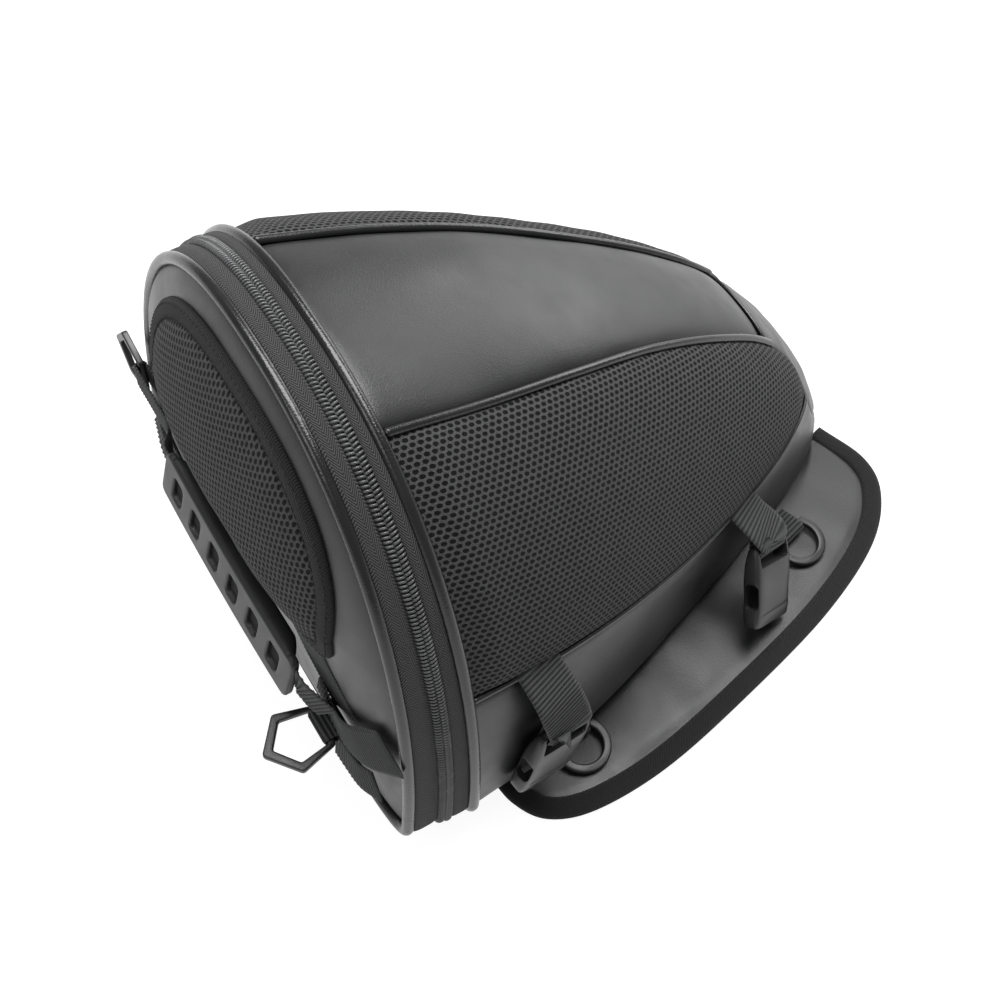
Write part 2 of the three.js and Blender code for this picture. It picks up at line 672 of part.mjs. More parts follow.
const upright = new THREE.Vector3(0, 0, 1);
for (const { name, sign } of sides) {
  const reach = GRIP_HALF_LENGTH + GAP;
  const points = [
    [sign * reach, GRIP_END_Y, GRIP_LEVEL - 1],
    [sign * (reach + 7), GRIP_END_Y + 3, GRIP_LEVEL - 6],
    [sign * (reach + 14), GRIP_END_Y + 6.5, GRIP_LEVEL - 11],
  ];
  const web = ribbon(points, () => upright, WEBBING_WIDTH - 2, WEBBING_THICKNESS);
  addPiece(`handle_webbing_${name}`, 'webbing', web, handle);
}

// ---------------------------------------------------------------- frames for hardware

const vec = (list) => new THREE.Vector3(...list);
const mirrored = (list, sign) => [sign * list[0], list[1], list[2]];

// Puts a piece made in its own frame at origin, with its x, y and z along the given directions.
function placeIn(mesh, origin, xAxis, yAxis, zAxis) {
  const basis = new THREE.Matrix4().makeBasis(xAxis, yAxis, zAxis);
  mesh.quaternion.setFromRotationMatrix(basis);
  mesh.position.copy(origin);
}

// Flat ring from an outer and an inner outline.
function flatRing(outer, inner, thickness) {
  const shape = new THREE.Shape(outer);
  shape.holes.push(new THREE.Path(inner));
  const options = { depth: thickness, bevelEnabled: false, curveSegments: 8 };
  return new THREE.ExtrudeGeometry(shape, options).translate(0, 0, -thickness / 2);
}

// Points of webbing that comes in on one side of a bar, passes round it and goes back.
function loopRound(bar, away, lift, radius, comeIn, goBack) {
  const at = (along, side) => bar.clone().addScaledVector(away, along).addScaledVector(lift, side);
  const diagonal = radius * Math.SQRT1_2;
  return [
    at(-comeIn[0], comeIn[1]),
    at(0, radius),
    at(diagonal, diagonal),
    at(radius, 0),
    at(diagonal, -diagonal),
    at(0, -radius),
    at(-goBack[0], goBack[1]),
  ];
}

// ---------------------------------------------------------------- rings and straps on the lid

const RING_OUTLINE = [[11, -1.7], [16.5, 18], [0, 31], [-16.5, 18], [-11, -1.7]];
const RING_INSIDE = [[9.4, 1.7], [11.8, 16.6], [0, 25.4], [-11.8, 16.6], [-9.4, 1.7]];
const TAB_WIDTH = 17;

function lidRing() {
  const outline = RING_OUTLINE.map(([x, y]) => new THREE.Vector2(x, y));
  const inside = RING_INSIDE.map(([x, y]) => new THREE.Vector2(x, y));
  return flatRing(outline, inside, LID_RING_WIRE);
}

// Radius of webbing that clears the corners of a square bar.
const loopRadius = (barThickness) => barThickness * Math.SQRT1_2 + GAP + WEBBING_THICKNESS / 2;
const xDir = new THREE.Vector3(1, 0, 0);

// Right ring: its bar lies along x, and it stands straight out from the lid.
const rightBar = new THREE.Vector3(81, -48, 58);
const outwards = new THREE.Vector3(0, -1, 0);
const rightRing = addPiece('lid_ring_right', 'plastic', lidRing(), lid);
placeIn(rightRing, rightBar, xDir, outwards, xDir.clone().cross(outwards));
const rightTab = loopRound(rightBar, outwards, upright, loopRadius(LID_RING_WIRE), [9.6, 2.6], [9.6, -2.6]);
addPiece('ring_tab_right', 'webbing', ribbon(rightTab.map((p) => p.toArray()), () => xDir, TAB_WIDTH,
  WEBBING_THICKNESS), lid);

// Left ring: its bar is upright at the edge of the lid, and it points away sideways.
const leftBar = new THREE.Vector3(-127, -40.4, 83);
const leftwards = new THREE.Vector3(-1, 0, 0);
const leftRing = addPiece('lid_ring_left', 'plastic', lidRing(), lid);
placeIn(leftRing, leftBar, upright, leftwards, upright.clone().cross(leftwards));
const leftTab = loopRound(leftBar, leftwards, outwards, loopRadius(LID_RING_WIRE), [36, 2.2], [9, -2.6]);
addPiece('lid_strap_left', 'webbing', ribbon(leftTab.map((p) => p.toArray()), () => upright, TAB_WIDTH,
  WEBBING_THICKNESS), lid);

// Webbing from the right rim down to the ring, and the tails that run to the lower corners.
const slant = new THREE.Vector3(0.78, 0.1, -0.62).normalize();
addPiece('lid_strap_right', 'webbing', ribbon(
  [[119, -40, 96], [107, -44, 81], [96, -46, 69]], () => slant, WEBBING_WIDTH, WEBBING_THICKNESS), lid);
const TAIL_WIDTH = 19;
for (const { name, sign } of sides) {
  const across = vec(mirrored([-0.05, 0.1, 1], sign)).normalize();
  const points = [[96, -43, 46], [107, -43, 49], [117, -41, 55]].map((point) => mirrored(point, sign));
  addPiece(`strap_tail_${name}`, 'webbing', ribbon(points, () => across, TAIL_WIDTH, WEBBING_THICKNESS), lid);
}

// ---------------------------------------------------------------- zip slider and its pull

const SLIDER_LENGTH = 15;
const SLIDER_WIDTH = 9.5;
const SLIDER_PLATE = 2.4;
const BRIDGE = { width: 2.8, length: 9, rise: 4.2, windowLength: 5.6, windowRise: 2.8 };
const PULL = { width: 9, length: 27, thickness: 1.3, eyeWidth: 3.6, eyeLength: 5, topBar: 1.8 };
const sliderLevel = 42;
const sliderFace = rimSection(ZIP_SPLIT).halfWidth + COIL_THICKNESS - TAPE_THICKNESS + 2 * GAP;
const slider = new THREE.Group();
slider.position.set(-sliderFace, splitY(sliderLevel), sliderLevel);
bag.add(slider);

function sliderBody() {
  const plate = roundedPlate(SLIDER_WIDTH, SLIDER_LENGTH, SLIDER_PLATE, 2).translate(0, 0, SLIDER_PLATE / 2);
  const bridge = new THREE.BoxGeometry(BRIDGE.width, BRIDGE.length, BRIDGE.rise);
  bridge.translate(0, 0, SLIDER_PLATE + BRIDGE.rise / 2 - 0.1);
  const window = new THREE.BoxGeometry(2 * BRIDGE.width, BRIDGE.windowLength, BRIDGE.windowRise);
  window.translate(0, 0, SLIDER_PLATE + BRIDGE.windowRise / 2);
  return fromManifold(toManifold(plate).add(toManifold(bridge)).subtract(toManifold(window)));
}
const sliderX = new THREE.Vector3(0, 1, 0);
const sliderZ = new THREE.Vector3(-1, 0, 0);
const sliderY = sliderZ.clone().cross(sliderX);
const sliderPiece = addPiece('zip_slider', 'metal', sliderBody(), slider);
placeIn(sliderPiece, new THREE.Vector3(), sliderX, sliderY, sliderZ);

function pullTab() {
  const middle = PULL.topBar / 2 - PULL.length / 2;
  const plate = roundedPlate(PULL.width, PULL.length, PULL.thickness, 2.5).translate(0, middle, 0);
  const eye = new THREE.BoxGeometry(PULL.eyeWidth, PULL.eyeLength, 2 * PULL.thickness);
  return cut(plate, [eye.translate(0, -PULL.topBar / 2 - PULL.eyeLength / 2, 0)]);
}
const pull = addPiece('slider_pull', 'metal', pullTab(), slider);
placeIn(pull, new THREE.Vector3(-SLIDER_PLATE - BRIDGE.windowRise / 2, 0, 0), sliderX, upright,
  sliderX.clone().cross(upright));

// ---------------------------------------------------------------- buckles

const BUCKLES = [
  { name: 'front', seamY: 36, bar: [142.5, 44.5, 72.5], hang: [0, -0.25, -0.97] },
  { name: 'rear', seamY: 187, bar: [100, 199, 46], hang: [0.57, -0.27, -0.77] },
];
const BAR_HALF = 2.2;
const SLOT_HALF_WIDTH = 13.5;
const MOUTH = { halfWidth: 13, depth: 26, halfHeight: 3.6 };
const WINDOW = { top: -17, bottom: -31, halfHeight: 3 };

// Socket half of a strap buckle. The origin is the middle of its webbing bar, and it hangs to -y.
function buckleBody() {
  const middle = BAR_HALF - BUCKLE_LENGTH / 2;
  const foot = BAR_HALF - BUCKLE_LENGTH;
  const block = roundedPlate(BUCKLE_WIDTH, BUCKLE_LENGTH, BUCKLE_THICKNESS, 3).translate(0, middle, 0);
  const slotLength = 5.5;
  const slot = new THREE.BoxGeometry(2 * SLOT_HALF_WIDTH, slotLength, 2 * BUCKLE_THICKNESS);
  slot.translate(0, -BAR_HALF - slotLength / 2, 0);
  const tools = [slot];
  for (const side of [-1, 1]) {
    const trim = new THREE.BoxGeometry(2 * SLOT_HALF_WIDTH, 4 * BAR_HALF, BUCKLE_THICKNESS);
    tools.push(trim.translate(0, 0, side * (BAR_HALF + BUCKLE_THICKNESS / 2)));
  }
  const mouth = new THREE.BoxGeometry(2 * MOUTH.halfWidth, MOUTH.depth, 2 * MOUTH.halfHeight);
  tools.push(mouth.translate(0, foot + MOUTH.depth / 2 - 0.5, 0));
  const sideCut = new THREE.BoxGeometry(2 * BUCKLE_WIDTH, WINDOW.top - WINDOW.bottom, 2 * WINDOW.halfHeight);
  tools.push(sideCut.translate(0, (WINDOW.top + WINDOW.bottom) / 2, 0));
  return cut(block, tools);
}

function seamPoint(sign, y) {
  const section = bodySection(y);
  const z = along(LOW_SEAM, y);
  return new THREE.Vector3(sign * sectionPoint(section, angleAtZ(section, z)).x, y, z);
}

for (const { name: side, sign } of sides) {
  for (const spec of BUCKLES) {
    const bar = vec(mirrored(spec.bar, sign));
    const hang = vec(mirrored(spec.hang, sign)).normalize();
    const seamRun = seamPoint(sign, spec.seamY + 5).sub(seamPoint(sign, spec.seamY - 5));
    const barDir = seamRun.addScaledVector(hang, -seamRun.dot(hang)).normalize();
    const front = barDir.clone().cross(hang).multiplyScalar(-sign).normalize();
    const up = hang.clone().negate();
    const widthDir = up.clone().cross(front);
    const buckle = addPiece(`buckle_${spec.name}_${side}`, 'plastic', buckleBody());
    placeIn(buckle, bar, widthDir, up, front);
    const radius = loopRadius(2 * BAR_HALF);
    const round = loopRound(bar, hang, front, radius, [7, radius + 0.4], [7, -radius]);
    const top = seamPoint(sign, spec.seamY).add(new THREE.Vector3(sign * 3.2, 0, -5));
    const nearTop = top.clone().lerp(round[0], 0.5).add(new THREE.Vector3(sign * 1.5, 0, 0));
    const points = [top, nearTop, ...round].map((point) => point.toArray());
    const loopWebbing = ribbon(points, () => barDir, WEBBING_WIDTH, WEBBING_THICKNESS);
    addPiece(`buckle_loop_${spec.name}_${side}`, 'webbing', loopWebbing);
  }
}

// ---------------------------------------------------------------- wings

const WING_ROOT_TUCK = 1;           // how far the wing reaches in under the lower band
const WING_ROOT = { start: 22, end: 286 };
const WING_RINGS = [
  { name: 'front', bar: [126.5, 67], away: [0.99, 0.14] },
  { name: 'rear', bar: [85, 234], away: [0.96, 0.28] },
];
const RING_BAR_LEVEL = 8.6;

const wingEdge = new THREE.CatmullRomCurve3(WING_OUTLINE.map(([x, y]) => new THREE.Vector3(x, y, 0)));

// Point on the outer edge of the wing, moved inwards.
function wingEdgePoint(turn, inset) {
  const point = wingEdge.getPointAt(turn);
  const tangent = wingEdge.getTangentAt(turn);
  return { x: point.x - tangent.y * inset, y: point.y + tangent.x * inset };
}

function wingSurface(sign, level) {
  return (u, v) => {
    const y = mix(WING_ROOT.start, WING_ROOT.end, u);
    const rootX = footX(y) - WING_ROOT_TUCK;
    const edge = wingEdgePoint(u, WING_BINDING_WIDTH + GAP);
    return [sign * mix(rootX, edge.x, v), mix(y, edge.y, v), level];
  };
}

function wingBinding(sign, level) {
  return (u, v) => {
    const edge = wingEdgePoint(u, mix(WING_BINDING_WIDTH, 0, v));
    return [sign * edge.x, edge.y, level];
  };
}

function dRing() {
  const outer = new THREE.Shape();
  const centre = D_RING_RADIUS * 0.5;
  const from = -Math.asin((centre + D_RING_WIRE / 2) / (D_RING_RADIUS + D_RING_WIRE / 2));
  outer.absarc(0, centre, D_RING_RADIUS + D_RING_WIRE / 2, from, Math.PI - from);
  outer.closePath();
  const inner = new THREE.Path();
  const innerFrom = -Math.asin((centre - D_RING_WIRE / 2) / (D_RING_RADIUS - D_RING_WIRE / 2));
  inner.absarc(0, centre, D_RING_RADIUS - D_RING_WIRE / 2, innerFrom, Math.PI - innerFrom);
  inner.closePath();
  outer.holes.push(inner);
  const options = { depth: D_RING_WIRE, bevelEnabled: false, curveSegments: 18 };
  return new THREE.ExtrudeGeometry(outer, options).translate(0, 0, -D_RING_WIRE / 2);
}

for (const { name: side, sign } of sides) {
  addPiece(`wing_${side}`, 'leather', slab(24, 1, wingSurface(sign, WING_THICKNESS), wingSurface(sign, 0)));
  addPiece(`wing_binding_${side}`, 'webbing',
    slab(32, 1, wingBinding(sign, WING_BINDING_THICKNESS), wingBinding(sign, 0)));

  for (const spec of WING_RINGS) {
    const bar = new THREE.Vector3(sign * spec.bar[0], spec.bar[1], RING_BAR_LEVEL);
    const away = new THREE.Vector3(sign * spec.away[0], spec.away[1], 0).normalize();
    const across = upright.clone().cross(away);
    const reach = 1.5 * D_RING_RADIUS;
    const drop = RING_BAR_LEVEL - WING_THICKNESS - GAP - D_RING_WIRE / 2;
    const lying = away.clone().multiplyScalar(reach).addScaledVector(upright, -drop).normalize();
    const ring = addPiece(`wing_ring_${spec.name}_${side}`, 'plastic', dRing());
    placeIn(ring, bar, across, lying, across.clone().cross(lying));
    const radius = loopRadius(D_RING_WIRE);
    const shortStrand = spec.name === 'front' ? [3.6, 1.7] : [9, 1.2];
    const round = loopRound(bar, away, upright, radius, shortStrand, [11, -radius]);
    addPiece(`ring_loop_${spec.name}_${side}`, 'webbing', ribbon(
      round.map((point) => point.toArray()), () => across, RING_WEBBING_WIDTH - 2, WEBBING_THICKNESS));
  }
}

export default bag;
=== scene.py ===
import math

import bmesh
import bpy
import numpy as np
from mathutils import Matrix, Vector


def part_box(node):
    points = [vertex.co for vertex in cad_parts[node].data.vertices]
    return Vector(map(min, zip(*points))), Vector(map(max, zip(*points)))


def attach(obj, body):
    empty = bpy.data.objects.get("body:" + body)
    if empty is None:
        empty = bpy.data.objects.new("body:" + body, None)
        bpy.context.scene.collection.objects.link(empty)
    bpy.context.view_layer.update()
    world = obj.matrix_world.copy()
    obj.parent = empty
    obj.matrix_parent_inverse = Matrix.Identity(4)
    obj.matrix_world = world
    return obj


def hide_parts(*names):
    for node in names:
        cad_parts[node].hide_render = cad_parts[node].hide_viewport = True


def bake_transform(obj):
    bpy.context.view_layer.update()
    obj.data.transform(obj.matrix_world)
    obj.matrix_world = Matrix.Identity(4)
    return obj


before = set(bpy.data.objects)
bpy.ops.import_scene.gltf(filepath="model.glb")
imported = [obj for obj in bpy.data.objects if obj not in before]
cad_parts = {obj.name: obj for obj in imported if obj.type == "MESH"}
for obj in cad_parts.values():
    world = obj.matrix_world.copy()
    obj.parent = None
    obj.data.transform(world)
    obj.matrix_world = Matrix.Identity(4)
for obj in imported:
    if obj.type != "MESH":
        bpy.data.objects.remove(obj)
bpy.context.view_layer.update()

# Tail bag for a motorcycle seat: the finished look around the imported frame.
# Shapes are worked out in millimetres in the bag's own coordinates, where y = 0 is the body rim,
# z = 0 is the table and x = 0 is the middle. place() turns them into metres in the frame.

MM = 0.001
rim_low, rim_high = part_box("body_rim_piping")
BODY_RIM_Y = -1.5
RIM_Y = 0.5 * (rim_low[1] + rim_high[1]) - BODY_RIM_Y * MM
SIDES = (("right", 1), ("left", -1))

# ---------------------------------------------------------------- driving dimensions

BODY_LENGTH = 298
HALF_WIDTH = ((0, 141), (50, 133), (100, 119.5), (150, 102), (200, 83), (240, 67), (270, 51), (288, 35),
              (298, 14))
HEIGHT = ((0, 241), (50, 224), (100, 204), (150, 178), (200, 146), (240, 112), (270, 74), (288, 38),
          (298, 12))
ARCH_POWER = 2.3
UNDER_POWER = 3.5
RIM_UNDER_POWER = 2.44
WIDEST_LEVEL = 36
WIDEST_FADE = 340
RIM_BOTTOM = 6

TOP_SEAM = ((0, 57), (50, 54), (100, 47.5), (150, 38.5), (200, 31.5), (238, 27), (256, 29), (266, 40),
            (276, 41), (288, 30), (298, 13))
LOW_SEAM = ((0, 125), (50, 110), (100, 93), (150, 76), (200, 66), (240, 65), (266, 62), (298, 58))
TOP_PANEL_END = 238
SIDE_PANEL_END = 265
BAND_END = 297
NOSE_SHARE = 0.93
NOSE_TIP_Y = 297
NOSE_TIP_SWELL = 2.2
TOP_PIPING_RADIUS = 2.2
LOW_PIPING_RADIUS = 1.4
RIM_PIPING_RADIUS = 3
SHELL_START = BODY_RIM_Y + RIM_PIPING_RADIUS - 0.6
PANEL_THICKNESS = 2.6
BAND_FOOT_LEVEL = 4.6
BAND_FOOT_FRACTION = 0.77

LID_HALF_WIDTH = 136
LID_HEIGHT = 240.5
LID_Y = -34.7
LID_LEAN = 0.034
LID_DOME = 24
DOME_FULL_HEIGHT = 150
DOME_EDGE_POWER = 0.7
DOME_FOOT_POWER = 1.6
LID_CENTRE_Z = 110
ZIP_SPLIT = 0.52
COIL_PITCH = 1.95
COIL_WIRE = 0.62
TAPE_FROM_SPLIT = 3.2
COIL_BED_REACH = 4.4
COIL_BED_GAP = 0.15
ARCH_END = -1.0

PAD_HALF_WIDTH = 88
PAD_TOP = 226
PAD_WIDEST = 148
PAD_BOTTOM = 121
PAD_BINDING_WIDTH = 9
PAD_CROWN = 7

GRIP_HALF_LENGTH = 67
GRIP_HEIGHT = 27
GRIP_THICKNESS = 4.2
GRIP_LEVEL = 86
GRIP_END_Y = -54
GRIP_BOW = 1
GRIP_TILT = 0.24
GRIP_SLOTS = 6
GRIP_SHARP_ANGLE = 50
CORE_INSET = 1.5
CORE_THICKNESS = 1.2
CORE_DEPTH = 1.3
# Section of the grip's upper edge: towards the lid, and up.
GRIP_EDGE_PROFILE = ((-1.9, -1.6), (-2.1, 0.2), (-1.3, 1.5), (0.4, 2.0), (3.0, 1.9), (5.6, 1.3), (7.0, 0.2),
                     (7.0, -1.0), (5.0, -1.2), (2.0, -1.4))

WEBBING_WIDTH = 25
WEBBING_THICKNESS = 1.5
RIB_PITCH = 2.3

WING_OUTLINE = ((119, 20), (140, 23), (156, 34), (164, 58), (163, 100), (152, 155), (134, 222), (112, 272),
                (88, 298), (64, 305), (34, 296))
WING_THICKNESS = 4
WING_BINDING_WIDTH = 11

# ---------------------------------------------------------------- shape functions


def along(pairs, position):
    """Smooth curve through (position, value) pairs."""
    knots = np.array([pair[0] for pair in pairs], float)
    values = np.array([pair[1] for pair in pairs], float)
    last = len(pairs) - 1
    before = np.maximum(np.arange(last + 1) - 1, 0)
    after = np.minimum(np.arange(last + 1) + 1, last)
    slopes = (values[after] - values[before]) / (knots[after] - knots[before])
    position = np.asarray(position, float)
    k = np.clip(np.searchsorted(knots, position) - 1, 0, last - 1)
    span = knots[k + 1] - knots[k]
    t = (position - knots[k]) / span
    return (values[k] * (2 * t**3 - 3 * t**2 + 1) + slopes[k] * span * (t**3 - 2 * t**2 + t)
            + values[k + 1] * (3 * t**2 - 2 * t**3) + slopes[k + 1] * span * (t**3 - t**2))


def mix(a, b, t):
    return a + (b - a) * t


def smooth(low, high, value):
    t = np.clip((value - low) / (high - low), 0, 1)
    return t * t * (3 - 2 * t)


def body_section(y, inset=0.0):
    """Half width, height, widest level, lower power and bottom of the body's section at y."""
    y = np.asarray(y, float)
    stretched = np.minimum(y * BODY_LENGTH / (BODY_LENGTH - inset), BODY_LENGTH)
    half_width = along(HALF_WIDTH, stretched) - inset
    height = along(HEIGHT, stretched) - inset
    widest = np.minimum(WIDEST_LEVEL * (1 - y / WIDEST_FADE), 0.45 * height)
    from_rim = np.clip(y / 40, 0, 1)
    under = RIM_UNDER_POWER + (UNDER_POWER - RIM_UNDER_POWER) * from_rim
    return half_width, height, widest, under, RIM_BOTTOM * (1 - from_rim) + inset


def section_point(section, angle):
    """Right half of a section: x and z at an angle, where 90 degrees is the top."""
    half_width, height, widest, under, bottom = section
    power = np.where(angle >= 0, ARCH_POWER, under)
    x = half_width * np.abs(np.cos(angle)) ** (2 / power)
    rise = np.abs(np.sin(angle)) ** (2 / power)
    z = np.where(angle >= 0, widest + (height - widest) * rise, widest - (widest - bottom) * rise)
    return x, z


def angle_at_x(section, x):
    return np.arccos(np.clip(x / section[0], 0, 1) ** (ARCH_POWER / 2))


def angle_at_z(section, z):
    _, height, widest, under, bottom = section
    above = z >= widest
    reach = np.where(above, height - widest, widest - bottom)
    ratio = np.minimum(np.abs(z - widest) / reach, 1)
    return np.arcsin(ratio ** (np.where(above, ARCH_POWER, under) / 2)) * np.where(above, 1, -1)


def foot_angle(section):
    widest_foot = -np.arccos(BAND_FOOT_FRACTION ** (section[3] / 2))
    return np.maximum(angle_at_z(section, BAND_FOOT_LEVEL), widest_foot)


def foot_x(y):
    section = body_section(y)
    return section_point(section, foot_angle(section))[0]


def lid_plane(z):
    return LID_Y + LID_LEAN * z


def rim_section(fraction, lift=0.0):
    """Section of the zipped end, from the lid rim (0) to the body rim (1), grown by lift."""
    half_width = mix(LID_HALF_WIDTH, HALF_WIDTH[0][1], fraction) + lift
    height = mix(LID_HEIGHT, HEIGHT[0][1], fraction) + lift
    return half_width, height, WIDEST_LEVEL, RIM_UNDER_POWER, RIM_BOTTOM - lift


def lid_bulge(x, z):
    power = np.where(z > WIDEST_LEVEL, ARCH_POWER, RIM_UNDER_POWER)
    reach = np.where(z > WIDEST_LEVEL, LID_HEIGHT - WIDEST_LEVEL, WIDEST_LEVEL - RIM_BOTTOM)
    level = (np.abs(x) / LID_HALF_WIDTH) ** power + (np.abs(z - WIDEST_LEVEL) / reach) ** power
    climb = np.clip((z - RIM_BOTTOM) / (DOME_FULL_HEIGHT - RIM_BOTTOM), 0, 1)
    return LID_DOME * np.maximum(1 - level, 0) ** DOME_EDGE_POWER * climb ** DOME_FOOT_POWER


def lid_face(x, z):
    return lid_plane(z) - lid_bulge(x, z)


def ripple(u, v, seed, longest, waves=6):
    """Gentle unevenness of hand-sewn material, from -1 to 1; u and v in millimetres."""
    draw = np.random.default_rng(seed)
    total = np.zeros(np.broadcast(u, v).shape)
    for k in range(waves):
        length = longest * 0.75**k
        heading = draw.uniform(0, math.pi)
        phase = draw.uniform(0, 2 * math.pi)
        distance = u * math.cos(heading) + v * math.sin(heading)
        total += np.cos(2 * math.pi * distance / length + phase) * 0.8**k
    return total / 2.6


# ---------------------------------------------------------------- mesh builders


def place(points):
    """Bag coordinates in millimetres to metres in the frame."""
    return np.asarray(points, float) * MM + np.array((0, RIM_Y, 0))


def running_length(points):
    """Distance of each point along the row, from the first one."""
    return np.concatenate(((0,), np.cumsum(np.linalg.norm(np.diff(points, axis=0), axis=1))))


def points_grid(x, y, z):
    """Grid of points from coordinates that are spread over its rows and columns."""
    return np.stack(np.broadcast_arrays(x, y, z), axis=2)


def mesh_object(name, points, faces, cloth=None):
    """Object with smooth faces. cloth holds each vertex's place on the flat material, in metres."""
    mesh = bpy.data.meshes.new(name)
    mesh.from_pydata(place(points).tolist(), [], [tuple(face) for face in faces])
    mesh.update()
    made = bpy.data.objects.new(name, mesh)
    bpy.context.scene.collection.objects.link(made)
    if cloth is not None:
        layer = mesh.attributes.new("cloth", "FLOAT_VECTOR", "POINT")
        layer.data.foreach_set("vector", (np.asarray(cloth, float) * MM).ravel())
    for polygon in mesh.polygons:
        polygon.use_smooth = True
    return made


def grid_faces(rows, columns, start=0, wrap=False, flip=False):
    faces = []
    for i in range(rows - 1):
        for j in range(columns if wrap else columns - 1):
            a = start + i * columns + j
            b = start + i * columns + (j + 1) % columns
            face = (a, b, b + columns, a + columns)
            faces.append(face[::-1] if flip else face)
    return faces


def grid_normals(grid):
    along_rows = np.gradient(grid, axis=0)
    along_columns = np.gradient(grid, axis=1)
    normals = np.cross(along_rows, along_columns)
    return normals / np.maximum(np.linalg.norm(normals, axis=2, keepdims=True), 1e-9)


def arc_lengths(grid):
    """Distance of each vertex along its row and along its column, as flat material coordinates."""
    down = np.zeros(grid.shape[:2])
    across = np.zeros(grid.shape[:2])
    down[1:] = np.cumsum(np.linalg.norm(np.diff(grid, axis=0), axis=2), axis=0)
    across[:, 1:] = np.cumsum(np.linalg.norm(np.diff(grid, axis=1), axis=2), axis=1)
    across -= across[:, -1:] / 2
    return down, across


def panel(name, grid, thickness, outwards, relief=None):
    """Closed sheet from a grid of points: relief lifts its outer face, and its back is plain."""
    normals = grid_normals(grid)
    if np.sum(normals * outwards(grid)) < 0:
        normals = -normals
    down, across = arc_lengths(grid)
    front = grid if relief is None else grid + normals * relief(down, across)[..., None]
    back = grid - normals * thickness
    rows, columns = grid.shape[:2]
    count = rows * columns
    points = np.concatenate((front.reshape(-1, 3), back.reshape(-1, 3)))
    handed = np.sum(np.cross(np.gradient(grid, axis=0), np.gradient(grid, axis=1)) * normals) > 0
    faces = grid_faces(rows, columns, 0, flip=handed) + grid_faces(rows, columns, count, flip=not handed)
    ring = [i * columns for i in range(rows)]
    ring += [(rows - 1) * columns + j for j in range(1, columns)]
    ring += [i * columns + columns - 1 for i in range(rows - 2, -1, -1)]
    ring += list(range(columns - 2, 0, -1))
    for k, a in enumerate(ring):
        b = ring[(k + 1) % len(ring)]
        face = (a, b, b + count, a + count)
        faces.append(face if handed else face[::-1])
    cloth = np.stack((down, across, np.zeros_like(down)), axis=2).reshape(-1, 3)
    made = mesh_object(name, points, faces, np.concatenate((cloth, cloth)))
    fix_normals(made.data)
    return made


def fix_normals(mesh):
    shape = bmesh.new()
    shape.from_mesh(mesh)
    bmesh.ops.recalc_face_normals(shape, faces=shape.faces)
    shape.to_mesh(mesh)
    shape.free()


def sweep(name, sections, cloth=None, closed=False):
    """Skin over a row of closed sections, each a ring of points, with flat ends unless closed."""
    sections = np.asarray(sections, float)
    rows, columns = sections.shape[:2]
    if closed:
        sections = np.concatenate((sections, sections[:1]))
        faces = grid_faces(rows + 1, columns, wrap=True)
        faces = [tuple(index % (rows * columns) for index in face) for face in faces]
        sections = sections[:-1]
    else:
        faces = grid_faces(rows, columns, wrap=True)
        faces.append(tuple(range(columns)))
        faces.append(tuple((rows - 1) * columns + j for j in range(columns - 1, -1, -1)))
    if cloth is None:
        run = running_length(sections.mean(axis=1))
        turn = np.linspace(0, 1, columns, endpoint=False)
        girth = np.linalg.norm(np.diff(sections[0], axis=0), axis=1).sum()
        cloth = points_grid(run[:, None], turn[None] * girth, 0)
    made = mesh_object(name, sections.reshape(-1, 3), faces, np.asarray(cloth).reshape(-1, 3))
    fix_normals(made.data)
    return made


def curve_through(points, count, closed=False):
    """Evenly spaced points on a smooth curve through the given ones."""
    points = np.asarray(points, float)
    if closed:
        points = np.concatenate((points[-1:], points, points[:2]))
    else:
        points = np.concatenate((2 * points[:1] - points[1:2], points, 2 * points[-1:] - points[-2:-1]))
    fine = []
    for k in range(1, len(points) - 2):
        t = np.linspace(0, 1, 24, endpoint=False)[:, None]
        p0, p1, p2, p3 = points[k - 1:k + 3]
        fine.append(0.5 * (2 * p1 + (p2 - p0) * t + (2 * p0 - 5 * p1 + 4 * p2 - p3) * t**2
                           + (3 * p1 - p0 - 3 * p2 + p3) * t**3))
    fine.append(points[-2][None])
    fine = np.concatenate(fine)
    run = running_length(fine)
    wanted = np.linspace(0, run[-1], count, endpoint=not closed)
    return np.stack([np.interp(wanted, run, fine[:, axis]) for axis in range(3)], axis=1)


def unit(vectors):
    return vectors / np.maximum(np.linalg.norm(vectors, axis=-1, keepdims=True), 1e-9)


def tangents(points, closed=False):
    if closed:
        return unit(np.roll(points, -1, axis=0) - np.roll(points, 1, axis=0))
    return unit(np.gradient(points, axis=0))


